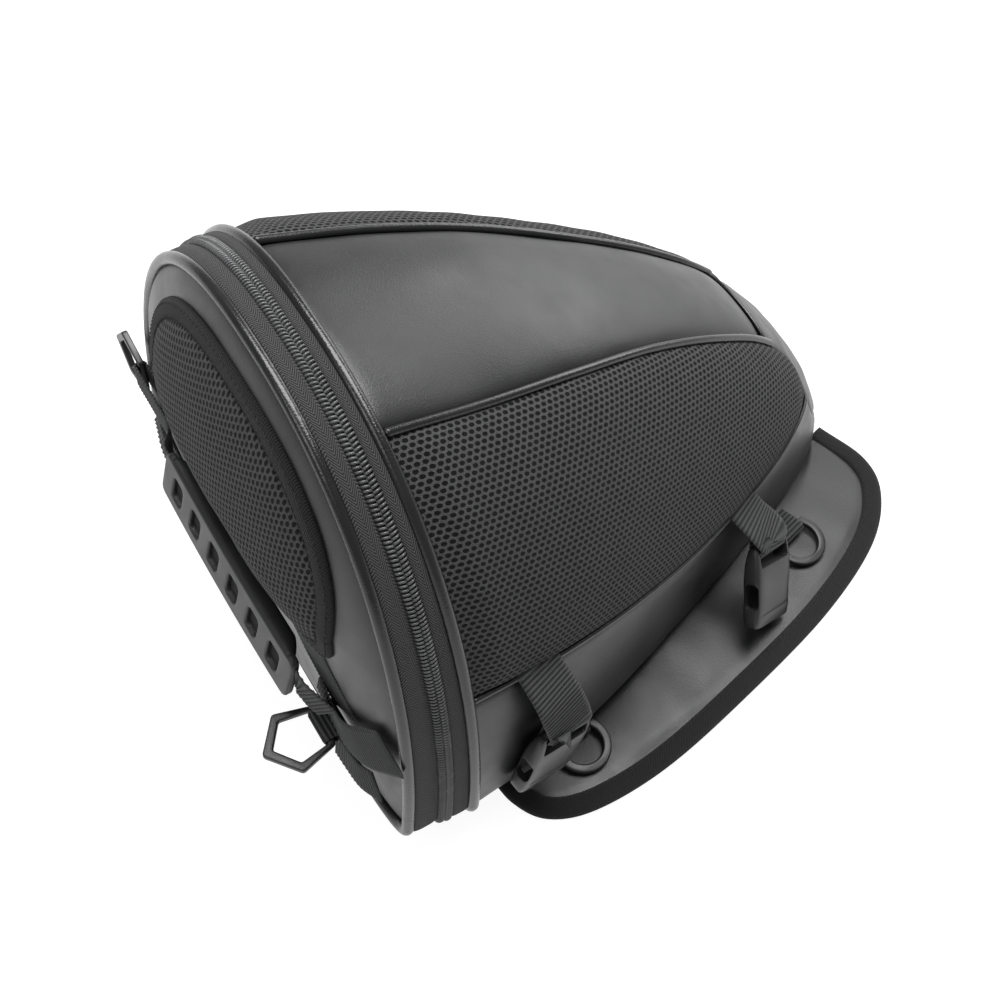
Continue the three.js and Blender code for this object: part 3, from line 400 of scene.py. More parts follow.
def tube(name, points, radius, up, sides=16, closed=False, round_ends=True):
    """Round cord along points; up gives the direction at which its section starts."""
    heading = tangents(points, closed)
    side = unit(np.cross(heading, up))
    lift = np.cross(side, heading)
    radii = np.full(len(points), float(radius))
    centres = points
    if round_ends and not closed:
        steps = np.array((0.0, 0.35, 0.65, 0.87, 0.97))
        caps = np.sqrt(1 - (1 - steps) ** 2)
        ease = radius * (1 - steps)
        start = points[0] + heading[0] * (radius - ease)[:, None]
        end = points[-1] - heading[-1] * (radius - ease)[::-1, None]
        from_ends = np.minimum(*(np.linalg.norm(points - tip, axis=1) for tip in (points[0], points[-1])))
        keep = [k for k in range(1, len(points) - 1) if from_ends[k] > radius]
        centres = np.concatenate((start, points[keep], end))
        side = np.concatenate((np.repeat(side[:1], 5, 0), side[keep], np.repeat(side[-1:], 5, 0)))
        lift = np.concatenate((np.repeat(lift[:1], 5, 0), lift[keep], np.repeat(lift[-1:], 5, 0)))
        caps = radius * np.maximum(caps, 0.12)
        radii = np.concatenate((caps, radii[keep], caps[::-1]))
    turn = np.linspace(0, 2 * math.pi, sides, endpoint=False)
    ring = np.cos(turn)[None, :, None] * side[:, None] + np.sin(turn)[None, :, None] * lift[:, None]
    return sweep(name, centres[:, None] + ring * radii[:, None, None], closed=closed)


def strap(name, points, across, width=WEBBING_WIDTH, thickness=WEBBING_THICKNESS, pitch=RIB_PITCH, rib=0.34):
    """Woven webbing along a list of points, with ribs across it; across is its width direction."""
    rough = curve_through(points, 60)
    length = np.linalg.norm(np.diff(rough, axis=0), axis=1).sum()
    count = max(int(length / pitch * 7), 12)
    middle = curve_through(points, count)
    across = np.asarray(across, float)
    if across.ndim == 1:
        across = np.repeat(across[None], 2, 0)
    spots = np.linspace(0, 1, len(across))
    wanted = np.linspace(0, 1, count)
    across = unit(np.stack([np.interp(wanted, spots, across[:, axis]) for axis in range(3)], axis=1))
    normal = unit(np.cross(tangents(middle), across))
    across = np.cross(normal, tangents(middle))
    run = np.linspace(0, length, count)
    columns = 15
    reach = np.linspace(-1, 1, columns)
    edge = np.clip((1 - np.abs(reach)) / 0.14, 0, 1) ** 0.5
    half = (thickness / 2) * np.maximum(edge, 0.25)
    wave = rib * (np.cos(2 * math.pi * run / pitch) - 0.5)[:, None] * np.clip(edge - 0.35, 0, 1)[None] * 1.5
    top = middle[:, None] + across[:, None] * (reach * width / 2)[None, :, None]
    above = top + normal[:, None] * (half[None] + wave)[..., None]
    below = (top - normal[:, None] * (half[None] + wave)[..., None])[:, ::-1]
    flat = points_grid(run[:, None], (reach * width / 2)[None], 0)
    cloth = np.concatenate((flat, flat[:, ::-1]), axis=1)
    return sweep(name, np.concatenate((above, below), axis=1), cloth)


def outline_plate(name, outer, holes, thickness, rounding, cut_pitch=0):
    """Points and faces of a flat plate with rounded edges, from outlines in x and y, thick along z."""
    curve = bpy.data.curves.new(name, "CURVE")
    curve.dimensions = "2D"
    curve.fill_mode = "BOTH"
    curve.extrude = thickness / 2 - rounding
    curve.bevel_depth = rounding
    curve.bevel_resolution = 3
    curve.offset = -rounding
    for outline in [outer, *holes]:
        spline = curve.splines.new("POLY")
        spline.points.add(len(outline) - 1)
        spline.use_cyclic_u = True
        for point, (x, y) in zip(spline.points, outline):
            point.co = (x, y, 0, 1)
    holder = bpy.data.objects.new(name, curve)
    bpy.context.scene.collection.objects.link(holder)
    bpy.context.view_layer.update()
    mesh = bpy.data.meshes.new_from_object(holder.evaluated_get(bpy.context.evaluated_depsgraph_get()))
    bpy.data.objects.remove(holder)
    bpy.data.curves.remove(curve)
    shape = bmesh.new()
    shape.from_mesh(mesh)
    bmesh.ops.remove_doubles(shape, verts=shape.verts, dist=0.01)
    if cut_pitch:
        low = min(vertex.co.x for vertex in shape.verts)
        high = max(vertex.co.x for vertex in shape.verts)
        for k in range(1, int((high - low) / cut_pitch)):
            everything = shape.verts[:] + shape.edges[:] + shape.faces[:]
            place_of_cut = (low + k * cut_pitch, 0, 0)
            bmesh.ops.bisect_plane(shape, geom=everything, plane_co=place_of_cut, plane_no=(1, 0, 0))
    bmesh.ops.recalc_face_normals(shape, faces=shape.faces)
    points = np.array([vertex.co[:] for vertex in shape.verts])
    faces = [[vertex.index for vertex in face.verts] for face in shape.faces]
    shape.free()
    bpy.data.meshes.remove(mesh)
    return points, faces


def turned(points, origin, x_axis, y_axis, z_axis):
    """Points of a piece made in its own frame, put at origin with its axes along the given ones."""
    points = np.asarray(points, float)
    basis = np.array((x_axis, y_axis, z_axis), float)
    return points @ basis + np.asarray(origin, float)


def arc(centre, radius, start, end, steps):
    turn = np.linspace(start, end, steps)
    return [(centre[0] + radius * math.cos(t), centre[1] + radius * math.sin(t)) for t in turn]


def rounded_outline(corners, radius, steps=5):
    """Polygon with its corners rounded, counter-clockwise."""
    corners = [np.array(corner, float) for corner in corners]
    points = []
    for k, corner in enumerate(corners):
        before = unit(corners[k - 1] - corner)
        after = unit(corners[(k + 1) % len(corners)] - corner)
        half = 0.5 * math.acos(float(np.clip(before @ after, -1, 1)))
        run = radius / math.tan(half)
        run = min(run, 0.45 * np.linalg.norm(corners[k - 1] - corner),
                  0.45 * np.linalg.norm(corners[(k + 1) % len(corners)] - corner))
        start = corner + before * run
        end = corner + after * run
        for t in np.linspace(0, 1, steps):
            points.append(tuple((1 - t) ** 2 * start + 2 * t * (1 - t) * corner + t * t * end))
    return points


def rounded_rectangle(half_x, half_y, radius, steps, middle=0):
    left, right = middle - half_x, middle + half_x
    corners = ((left, -half_y), (right, -half_y), (right, half_y), (left, half_y))
    return rounded_outline(corners, radius, steps)


def smooth_shading(made, degrees=35):
    """Keeps sharp edges sharp on a moulded piece."""
    shape = bmesh.new()
    shape.from_mesh(made.data)
    for edge in shape.edges:
        if len(edge.link_faces) == 2:
            edge.smooth = edge.calc_face_angle(0) < math.radians(degrees)
    shape.to_mesh(made.data)
    shape.free()


def stitches(name, path, normals, pitch=3.4, length=2.4, radius=0.32, sink=0.1):
    """Row of sewn stitches lying on a surface along a path."""
    run = running_length(path)
    starts = np.arange(0.5 * pitch, run[-1] - length, pitch)
    profile = ((0.0, -0.5, 0.5), (0.18, 0.1, 0.85), (0.5, 0.32, 1.0), (0.82, 0.1, 0.85), (1.0, -0.5, 0.5))
    turn = np.linspace(0, 2 * math.pi, 6, endpoint=False)
    points = []
    faces = []

    def at(distance, data):
        return np.array([np.interp(distance, run, data[:, axis]) for axis in range(3)])

    for start in starts:
        heading = unit(at(start + length, path) - at(start, path))
        up = unit(at(start + length / 2, normals))
        side = np.cross(heading, up)
        first = len(points)
        for share, lift, width in profile:
            centre = at(start + share * length, path) + up * (radius * (lift + 0.3) - sink)
            for t in turn:
                points.append(centre + (side * math.cos(t) * 1.15 + up * math.sin(t)) * radius * width)
        faces += grid_faces(len(profile), 6, first, wrap=True)
        faces.append(tuple(range(first, first + 6)))
        last = first + 6 * (len(profile) - 1)
        faces.append(tuple(range(last + 5, last - 1, -1)))
    made = mesh_object(name, points, faces, np.asarray(points))
    fix_normals(made.data)
    return made


# ---------------------------------------------------------------- materials

# Pitch of the mesh's holes, down and across.
MESH_HOLE = 3.7
MESH_ROW = 2.6


class Nodes:
    """Short way to write a node tree."""

    def __init__(self, name):
        self.material = bpy.data.materials.new(name)
        self.material.use_nodes = True
        self.tree = self.material.node_tree
        self.shader = self.tree.nodes["Principled BSDF"]

    def add(self, kind, **settings):
        node = self.tree.nodes.new(kind)
        for key, value in settings.items():
            setattr(node, key, value)
        return node

    def feed(self, node, key, value):
        if isinstance(value, bpy.types.NodeSocket):
            self.tree.links.new(value, node.inputs[key])
        else:
            node.inputs[key].default_value = value

    def math(self, operation, a, b=0.0, c=0.0):
        node = self.add("ShaderNodeMath", operation=operation)
        for index, value in enumerate((a, b, c)):
            self.feed(node, index, value)
        return node.outputs[0]

    def plus(self, a, b):
        return self.math("ADD", a, b)

    def minus(self, a, b):
        return self.math("SUBTRACT", a, b)

    def times(self, a, b):
        return self.math("MULTIPLY", a, b)

    def over(self, a, b):
        return self.math("DIVIDE", a, b)

    def sine(self, a):
        return self.math("SINE", a)

    def cosine(self, a):
        return self.math("COSINE", a)

    def fraction(self, a):
        return self.math("FRACT", a)

    def cloth(self):
        """Place on the flat material, in metres: along it, and across it."""
        node = self.add("ShaderNodeAttribute", attribute_name="cloth")
        split = self.add("ShaderNodeSeparateXYZ")
        self.tree.links.new(node.outputs["Vector"], split.inputs[0])
        return node.outputs["Vector"], split.outputs[0], split.outputs[1]

    def position(self):
        return self.add("ShaderNodeTexCoord").outputs["Object"]

    def noise(self, vector, scale, detail=3.0, roughness=0.55):
        node = self.add("ShaderNodeTexNoise")
        self.feed(node, "Vector", vector)
        self.feed(node, "Scale", scale)
        self.feed(node, "Detail", detail)
        self.feed(node, "Roughness", roughness)
        return node.outputs["Fac"]

    def cells(self, vector, scale, randomness=1.0, feature="F1"):
        node = self.add("ShaderNodeTexVoronoi", feature=feature)
        self.feed(node, "Vector", vector)
        self.feed(node, "Scale", scale)
        self.feed(node, "Randomness", randomness)
        return node.outputs["Distance"]

    def ramp(self, value, low, high, low_value=0.0, high_value=1.0):
        node = self.add("ShaderNodeMapRange", interpolation_type="SMOOTHSTEP")
        for key, number in (("Value", value), ("From Min", low), ("From Max", high),
                            ("To Min", low_value), ("To Max", high_value)):
            self.feed(node, key, number)
        return node.outputs[0]

    def blend(self, share, a, b):
        node = self.add("ShaderNodeMix", data_type="RGBA")
        self.feed(node, 0, share)
        self.feed(node, 6, (*a, 1) if isinstance(a, tuple) else a)
        self.feed(node, 7, (*b, 1) if isinstance(b, tuple) else b)
        return node.outputs[2]

    def bump(self, height, distance, strength=1.0, under=None):
        node = self.add("ShaderNodeBump")
        self.feed(node, "Height", height)
        self.feed(node, "Distance", distance)
        self.feed(node, "Strength", strength)
        if under is not None:
            self.feed(node, "Normal", under)
        return node.outputs[0]

    def finish(self, colour, roughness, normal, **settings):
        self.feed(self.shader, "Base Color", (*colour, 1) if isinstance(colour, tuple) else colour)
        self.feed(self.shader, "Roughness", roughness)
        self.feed(self.shader, "Normal", normal)
        for key, value in settings.items():
            self.feed(self.shader, key.replace("_", " "), value)
        return self.material


def leather_material(name, tone=0.013, roughness=0.43, grain=0.00011):
    """Smooth coated leather: fine pebble grain, faint scuffs and a slowly changing sheen."""
    n = Nodes(name)
    where = n.position()
    pebbles = n.cells(where, 1500.0, feature="SMOOTH_F1")
    fine = n.noise(where, 3200.0, 2.0)
    broad = n.noise(where, 22.0, 4.0)
    patches = n.noise(where, 90.0, 3.0)
    height = n.plus(n.times(pebbles, 0.8), n.times(fine, 0.3))
    height = n.plus(height, n.times(patches, 0.9))
    shade = n.ramp(broad, 0.3, 0.72)
    colour = n.blend(shade, (tone * 0.86, tone * 0.88, tone * 0.92), (tone * 1.12, tone * 1.14, tone * 1.17))
    rough = n.plus(n.ramp(broad, 0.25, 0.75, roughness - 0.04, roughness + 0.05),
                   n.times(n.minus(patches, 0.5), 0.12))
    return n.finish(colour, rough, n.bump(height, grain, 0.8), Specular_IOR_Level=0.5)


def air_mesh_material(name):
    """Padded spacer mesh: rows of small oval holes set in brick order in a knitted face, with painted shade
    in the holes.
    """
    n = Nodes(name)
    _, down, across = n.cloth()
    row = n.over(across, MESH_ROW * MM)
    stagger = n.times(n.math("FLOORED_MODULO", n.math("FLOOR", row), 2.0), 0.5)
    column = n.plus(n.over(down, MESH_HOLE * MM), stagger)
    x = n.times(n.minus(n.fraction(column), 0.5), MESH_HOLE)
    y = n.times(n.minus(n.fraction(row), 0.5), MESH_ROW)
    reach = n.math("SQRT", n.plus(n.math("POWER", n.times(x, 0.78), 2.0),
                                  n.math("POWER", n.times(y, 1.12), 2.0)))
    where = n.position()
    uneven = n.minus(n.noise(where, 900.0, 2.0), 0.5)
    reach = n.plus(reach, n.times(uneven, 0.35))
    solid = n.ramp(reach, 0.9, 1.2)
    slanted = n.plus(down, n.times(across, 0.6))
    knit_down = n.sine(n.times(slanted, 9000.0))
    knit_across = n.sine(n.times(across, 10500.0))
    knit = n.times(knit_down, knit_across)
    height = n.plus(n.times(solid, 1.0), n.times(knit, 0.10))
    fuzz = n.noise(where, 2600.0, 2.0)
    face = n.blend(n.ramp(fuzz, 0.3, 0.7), (0.026, 0.0265, 0.0265), (0.07, 0.071, 0.071))
    # The holes are coloured almost black: painted shade in holes that are only a bump.
    colour = n.blend(solid, (0.0008, 0.0008, 0.0009), face)
    rough = n.ramp(solid, 0.0, 1.0, 1.0, 0.78)
    return n.finish(colour, rough, n.bump(height, 0.0009, 1.0), Specular_IOR_Level=0.2,
                    Sheen_Weight=0.04, Sheen_Roughness=0.5)


def herringbone_material(name, tone=0.015, pitch=0.0016, width=0.0058):
    """Woven zip tape: slanting ribs that turn back along the middle of the tape, with painted shade in their
    grooves and painted highlight on their crests.
    """
    n = Nodes(name)
    _, down, across = n.cloth()
    fold = n.math("ABSOLUTE", n.minus(n.fraction(n.over(across, width)), 0.5))
    fold = n.times(fold, width)
    slant = n.over(n.plus(down, n.times(fold, 1.5)), pitch)
    rib = n.sine(n.times(slant, 2 * math.pi))
    fine = n.sine(n.times(across, 14000.0))
    height = n.plus(rib, n.times(fine, 0.25))
    where = n.position()
    fuzz = n.noise(where, 3000.0, 2.0)
    dark = (tone * 0.3, tone * 0.3, tone * 0.31)
    light = (tone * 1.9, tone * 1.9, tone * 1.88)
    # Painted light: dark in the grooves and light on the crests of the same ribs that the bump draws; the
    # fuzz adds tone that differs at random.
    colour = n.blend(n.ramp(n.plus(rib, n.times(fuzz, 0.6)), -0.8, 1.4), dark, light)
    return n.finish(colour, 0.86, n.bump(height, 0.00016, 1.0), Specular_IOR_Level=0.3,
                    Sheen_Weight=0.04, Sheen_Roughness=0.5)


def webbing_material(name, tone=0.014, pitch=RIB_PITCH, plain_pitch=0.0007):
    """Ribbed webbing: crossing yarns, with painted highlight along the crest of each rib and painted shade,
    near black, in the grooves.
    """
    n = Nodes(name)
    _, down, across = n.cloth()
    rib = n.cosine(n.times(down, 2 * math.pi / (pitch * MM)))
    yarn = n.sine(n.times(across, 2 * math.pi / plain_pitch))
    twist = n.sine(n.times(n.plus(down, n.times(across, 0.5)), 9000.0))
    height = n.plus(n.times(yarn, 0.6), n.times(twist, 0.25))
    fuzz = n.noise(n.position(), 2400.0, 2.0)
    # Painted light: the colour follows the ribs of the geometry, lighter on the crests and near black in the
    # grooves.
    shade = n.ramp(n.plus(n.plus(rib, n.times(yarn, 0.35)), fuzz), -0.9, 2.0)
    colour = n.blend(shade, (tone * 0.08, tone * 0.08, tone * 0.09), (tone * 3.2, tone * 3.3, tone * 3.3))
    return n.finish(colour, 0.75, n.bump(height, 0.00009, 0.9), Specular_IOR_Level=0.35,
                    Sheen_Weight=0.04, Sheen_Roughness=0.5)


def binding_material(name, tone=0.012):
    """Soft woven edge binding: fine slanting twill with a little fuzz, with painted shade in the twill's
    grooves and painted highlight on its ridges.
    """
    n = Nodes(name)
    _, down, across = n.cloth()
    slant = n.plus(down, n.times(across, 1.0))
    twill = n.sine(n.times(slant, 2 * math.pi / 0.0012))
    cross = n.sine(n.times(down, 2 * math.pi / 0.0008))
    fuzz = n.noise(n.position(), 1800.0, 3.0)
    height = n.plus(n.plus(twill, n.times(cross, 0.5)), fuzz)
    # Painted light: the colour follows the weave's height, darker in its grooves and lighter on its ridges;
    # the fuzz part is tone that differs at random.
    shade = n.ramp(height, -1.0, 2.0)
    colour = n.blend(shade, (tone * 0.4, tone * 0.4, tone * 0.41), (tone * 1.7, tone * 1.7, tone * 1.7))
    return n.finish(colour, 0.9, n.bump(height, 0.00016, 0.9), Specular_IOR_Level=0.25,
                    Sheen_Weight=0.04, Sheen_Roughness=0.5)


def moulded_material(name, tone=0.03, roughness=0.36, texture=0.00006, metal=0.0):
    """Moulded plastic or rubber: spark-eroded texture and slight flow marks."""
    n = Nodes(name)
    where = n.position()
    fine = n.noise(where, 2600.0, 3.0)
    flow = n.noise(where, 60.0, 2.0)
    colour = n.blend(n.ramp(flow, 0.3, 0.7), (tone * 0.85, tone * 0.86, tone * 0.88),
                     (tone * 1.15, tone * 1.17, tone * 1.19))
    rough = n.ramp(flow, 0.25, 0.75, roughness - 0.04, roughness + 0.06)
    return n.finish(colour, rough, n.bump(fine, texture, 0.7), Metallic=metal, Specular_IOR_Level=0.5)


def lining_material(name):
    """Plain woven nylon lining."""
    n = Nodes(name)
    where = n.position()
    weave = n.cells(where, 1400.0, 0.2)
    colour = n.blend(n.ramp(weave, 0.1, 0.7), (0.026, 0.027, 0.028), (0.018, 0.0185, 0.0195))
    return n.finish(colour, 0.7, n.bump(weave, 0.0001, 0.8), Specular_IOR_Level=0.4)


MATERIALS = {
    "leather": leather_material("coated_leather", 0.012, 0.41),
    "piping": leather_material("piping_leather", 0.008, 0.25),
    "mesh": air_mesh_material("air_mesh"),
    "tape": herringbone_material("herringbone_tape", 0.034),
    "webbing": webbing_material("ribbed_webbing", 0.019),
    "binding": binding_material("woven_binding"),
    "coil": moulded_material("zip_coil", 0.07, 0.25, 0.00002),
    "plastic": moulded_material("moulded_plastic", 0.013, 0.36),
    "rubber": moulded_material("moulded_rubber", 0.017, 0.45),
    "metal": moulded_material("black_metal", 0.03, 0.3, 0.00003, 0.6),
    "thread": binding_material("sewing_thread", 0.016),
    "lining": lining_material("nylon_lining"),
}


def dress(made, material, body, slot, *nodes):
    """Gives a piece its material and body (None if it bends between two), and hides the nodes it replaces.
    slot is not used.
    """
    made.data.materials.clear()
    made.data.materials.append(MATERIALS[material])
    if body:
        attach(made, body)
    if nodes:
        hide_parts(*nodes)
    return made


def upwards(points):
    return np.broadcast_to((0, 0, 1), points.shape)


def outward_from_middle(grid):
    """Roughly outward directions for the shell's panels."""
    centre = grid.copy()
    centre[..., 0] = 0
    centre[..., 2] = 30
    return grid - centre


# ---------------------------------------------------------------- camera, light and floor

AZIMUTH = math.radians(54.73)
ELEVATION = math.radians(57.05)
ROLL = math.radians(4.84)
DISTANCE = 754.6
AIM = np.array((31.7, 76.7, 90.0))
LENS = 55.88
FLOOR_HALF = 6
FLOOR_BELOW = 0.4
WORLD_STRENGTH = 0.28
# Name, place, target, size in metres and power in watts.
LIGHTS = (("key", (-0.3, 0.24, 1.45), (0, 0, 0.1), (1.2, 0.8), 34),
          ("back", (-0.7, 1.55, 0.75), (0, 0, 0.15), (1.3, 0.7), 14),
          ("front", (0.2, -1.2, 1.45), (0, -0.1, 0.15), (1.0, 0.6), 7))


def set_camera():
    backward = Vector((math.sin(AZIMUTH) * math.cos(ELEVATION), -math.cos(AZIMUTH) * math.cos(ELEVATION),
                       math.sin(ELEVATION)))
    level = Vector((math.cos(AZIMUTH), math.sin(AZIMUTH), 0))
    raised = backward.cross(level)
    right = level * math.cos(ROLL) + raised * math.sin(ROLL)
    up = backward.cross(right)
    data = bpy.data.cameras.new("camera")
    data.lens = LENS
    data.sensor_width = 36
    data.clip_start = 0.01
    camera = bpy.data.objects.new("camera", data)
    bpy.context.scene.collection.objects.link(camera)
    turn = Matrix((right, up, backward)).transposed().to_4x4()
    spot = place(AIM) + np.array(backward) * DISTANCE * MM
    camera.matrix_world = Matrix.Translation(Vector(spot)) @ turn
    bpy.context.scene.camera = camera


def set_light(name, position, target, size, power):
    data = bpy.data.lights.new(name, "AREA")
    data.shape = "RECTANGLE"
    data.size, data.size_y = size
    data.energy = power
    light = bpy.data.objects.new(name, data)
    bpy.context.scene.collection.objects.link(light)
    light.location = position
    light.rotation_euler = (Vector(target) - Vector(position)).to_track_quat("-Z", "Y").to_euler()


def set_stage():
    world = bpy.data.worlds.new("studio")
    world.use_nodes = True
    world.node_tree.nodes["Background"].inputs["Color"].default_value = (1, 1, 1, 1)
    world.node_tree.nodes["Background"].inputs["Strength"].default_value = WORLD_STRENGTH
    bpy.context.scene.world = world
    mesh = bpy.data.meshes.new("floor")
    half = FLOOR_HALF
    corners = [(-half, -half, 0), (half, -half, 0), (half, half, 0), (-half, half, 0)]
    mesh.from_pydata(corners, [], [(0, 1, 2, 3)])
    floor = bpy.data.objects.new("floor", mesh)
    bpy.context.scene.collection.objects.link(floor)
    floor.location.z = -FLOOR_BELOW * MM
    n = Nodes("pale_floor")
    texture = n.noise(n.position(), 30.0, 3.0)
    n.finish(n.blend(texture, (0.23, 0.23, 0.23), (0.25, 0.25, 0.25)), 0.9, n.bump(texture, 0.0001, 0.2),
             Emission_Color=(1, 1, 1, 1), Emission_Strength=0.91)
    mesh.materials.append(n.material)
    for light in LIGHTS:
        set_light(*light)
    bpy.context.scene.view_settings.view_transform = "Standard"


set_camera()
set_stage()

# ---------------------------------------------------------------- shell panels


def edge_dip(across, half, depth, width):
    """Lets a panel sink into its seams at both edges."""
    distance = half - np.abs(across)
    return -depth * np.exp(-np.maximum(distance, 0) / width)


def shell_strip(start, end, lower, upper, steps, sign=1):
    """Grid on the body between two angles at each station."""
    y = np.linspace(start, end, steps[0])[:, None]
    section = body_section(y)
    t = np.linspace(0, 1, steps[1])[None]
    angle = mix(lower(section, y), upper(section, y), t)
    x, z = section_point(section, angle)
    return points_grid(sign * x, y, z)


def seam_shift(section, length):
    return length / (0.5 * (section[0] + section[1]))


def nose_angle(section, y):
    """Angle at which the nose panel ends, at the top seams."""
    return angle_at_x(section, np.minimum(along(TOP_SEAM, y), NOSE_SHARE * section[0]))


def top_panel():
    y = np.linspace(SHELL_START, TOP_PANEL_END - 1.2, 150)[:, None]
    section = body_section(y)
    edge = along(TOP_SEAM, y) - TOP_PIPING_RADIUS * 0.6
    x = edge * np.linspace(-1, 1, 81)[None]
    z = section_point(section, angle_at_x(section, np.abs(x)))[1]
    grid = points_grid(x, y, z)

    def relief(down, across):
        half = np.abs(across[:, -1:])
        lift = edge_dip(across, half, 1.6, 2.6) + 0.35 * ripple(down, across, 11, 120)
        ends = np.exp(-(TOP_PANEL_END - y) / 3.5) * -1.6 + np.exp(-(y - SHELL_START) / 3) * -1.0
        return lift + ends

    made = panel("top_panel_leather", grid, PANEL_THICKNESS, outward_from_middle, relief)
    dress(made, "leather", "bag_body", "leather", "top_panel")


def nose_panel():
    share = np.sin(np.linspace(0, math.pi / 2, 70))[:, None]
    y = TOP_PANEL_END + 1.2 + (BODY_LENGTH - TOP_PANEL_END - 1.6) * share
    section = body_section(y)
    angle = mix(math.pi - nose_angle(section, y), nose_angle(section, y), np.linspace(0, 1, 81)[None])
    x, z = section_point(section, np.minimum(angle, math.pi - angle))
    grid = points_grid(np.where(angle > math.pi / 2, -x, x), y, z)

    def relief(down, across):
        half = np.abs(across[:, -1:])
        fold = np.exp(-(y - TOP_PANEL_END) / 3.0) * -1.4
        unevenness = 0.5 * ripple(down, across, 13, 60) * smooth(4, 30, down)
        return edge_dip(across, half, 0.9, 1.8) + fold + unevenness

    made = panel("nose_panel_leather", grid, PANEL_THICKNESS, outward_from_middle, relief)
    dress(made, "leather", "bag_body", "leather", "nose_panel")


def side_panel(name, sign):
    def lower(section, y):
        return angle_at_z(section, along(LOW_SEAM, y)) + seam_shift(section, LOW_PIPING_RADIUS * 0.5)

    def upper(section, y):
        top = nose_angle(section, y) - seam_shift(section, TOP_PIPING_RADIUS * 0.5)
        return np.maximum(top, lower(section, y) + 0.02)

    grid = shell_strip(SHELL_START, SIDE_PANEL_END, lower, upper, (170, 70), sign)

    def relief(down, across):
        half = np.abs(across[:, -1:])
        distance = half - np.abs(across)
        swell = 3.6 * (1 - np.exp(-distance / 7)) * smooth(0, 18, down) * smooth(0, 30, down[-1:] - down)
        unevenness = 0.45 * ripple(down, across, 21, 90) * smooth(0, 12, distance)
        return swell - 1.0 * np.exp(-distance / 1.6) + unevenness

    made = panel(f"side_mesh_{name}", grid, PANEL_THICKNESS, outward_from_middle, relief)
    dress(made, "mesh", "bag_body", "mesh", f"side_panel_{name}")


def lower_band(name, sign):
    def lower(section, y):
        return foot_angle(section)

    def upper(section, y):
        low_seam = angle_at_z(section, along(LOW_SEAM, y)) - seam_shift(section, LOW_PIPING_RADIUS * 0.6)
        return np.minimum(low_seam, nose_angle(section, y) - seam_shift(section, 0.4))

    grid = shell_strip(SHELL_START, BAND_END, lower, upper, (150, 40), sign)

    def relief(down, across):
        half = np.abs(across[:, -1:])
        distance = half - np.abs(across)
        return -0.9 * np.exp(-distance / 2.0) + 0.3 * ripple(down, across, 31, 100) * smooth(0, 8, distance)

    made = panel(f"lower_band_leather_{name}", grid, PANEL_THICKNESS, outward_from_middle, relief)
    dress(made, "leather", "bag_body", "leather", f"lower_band_{name}")


def seam_line(pairs, start, end, sign, top, count=120, lift=0.0):
    """Points of a seam on the body, with the outward direction at each."""
    y = np.linspace(start, end, count)
    section = body_section(y)
    value = along(pairs, y)
    if top:
        value = np.minimum(value, 0.97 * section[0])
        angle = angle_at_x(section, value)
    else:
        angle = angle_at_z(section, value)
    x, z = section_point(section, angle)
    points = np.stack((sign * x, y, z), axis=1)
    outward = unit(np.stack((sign * x, 0 * y, z - 30), axis=1))
    return points + outward * lift, outward


def body_pipings(name, sign):
    points, up = seam_line(TOP_SEAM, SHELL_START, TOP_PANEL_END + 3, sign, True, lift=0.2)
    made = tube(f"top_seam_piping_{name}", points, TOP_PIPING_RADIUS, up)
    dress(made, "piping", "bag_body", "leather", f"top_piping_{name}")
    points, up = seam_line(LOW_SEAM, SHELL_START, SIDE_PANEL_END - 1, sign, False, lift=0.1)
    made = tube(f"low_seam_welt_{name}", points, LOW_PIPING_RADIUS, up, 12)
    dress(made, "piping", "bag_body", "leather", f"low_piping_{name}")


def cross_seam():
    """Thin welt where the top panel meets the nose panel."""
    count = 60
    y = TOP_PANEL_END
    section = body_section(float(y))
    reach = float(along(TOP_SEAM, y))
    x = np.linspace(-reach, reach, count)
    z = section_point(section, angle_at_x(section, np.abs(x)))[1]
    points = np.stack((x, np.full(count, float(y)), z - 0.9), axis=1)
    up = np.repeat(np.array(((0, 0.6, 0.8),)), count, 0)
    dress(tube("cross_seam_welt", points, 1.1, up, 12), "piping", "bag_body", "leather")


def bottom():
    """Flat bottom panel with a rounded edge."""
    y = np.linspace(0.7, NOSE_TIP_Y - 0.5, 80)[:, None]
    edge = foot_x(y) - 3 * smooth(0, 40, NOSE_TIP_Y - y) - 0.5
    across = np.linspace(-1, 1, 31)[None]
    x = edge * np.sin(across * math.pi / 2)
    z = 1.9 + 0.9 * np.sqrt(np.clip(1 - np.abs(x / edge) ** 8, 0.02, 1))
    grid = points_grid(x, y, z)
    made = panel("bottom_leather", grid, 1.9, upwards)
    dress(made, "leather", "bag_body", "leather", "base_panel")


def nose_tip():
    """Gathered end of the nose, which closes the shell."""
    turn = np.linspace(0, 2 * math.pi, 61)[None]
    share = np.linspace(1, 0.03, 14)[:, None]
    section = body_section(NOSE_TIP_Y)
    x, z = section_point(section, np.arcsin(np.clip(np.sin(turn), -1, 1)))
    x = np.where(np.cos(turn) < 0, -x, x)
    middle = 0.5 * section[1]
    y = NOSE_TIP_Y - 1.0 + NOSE_TIP_SWELL * np.sqrt(1 - share**2)
    level = np.maximum(middle + share * (z - middle), 0.4)
    grid = points_grid(share * x, y, level)

    def outwards(points):
        return np.broadcast_to((0, 1, 0), points.shape)

    dress(panel("nose_tip_leather", grid, 1.2, outwards), "leather", "bag_body", "leather")


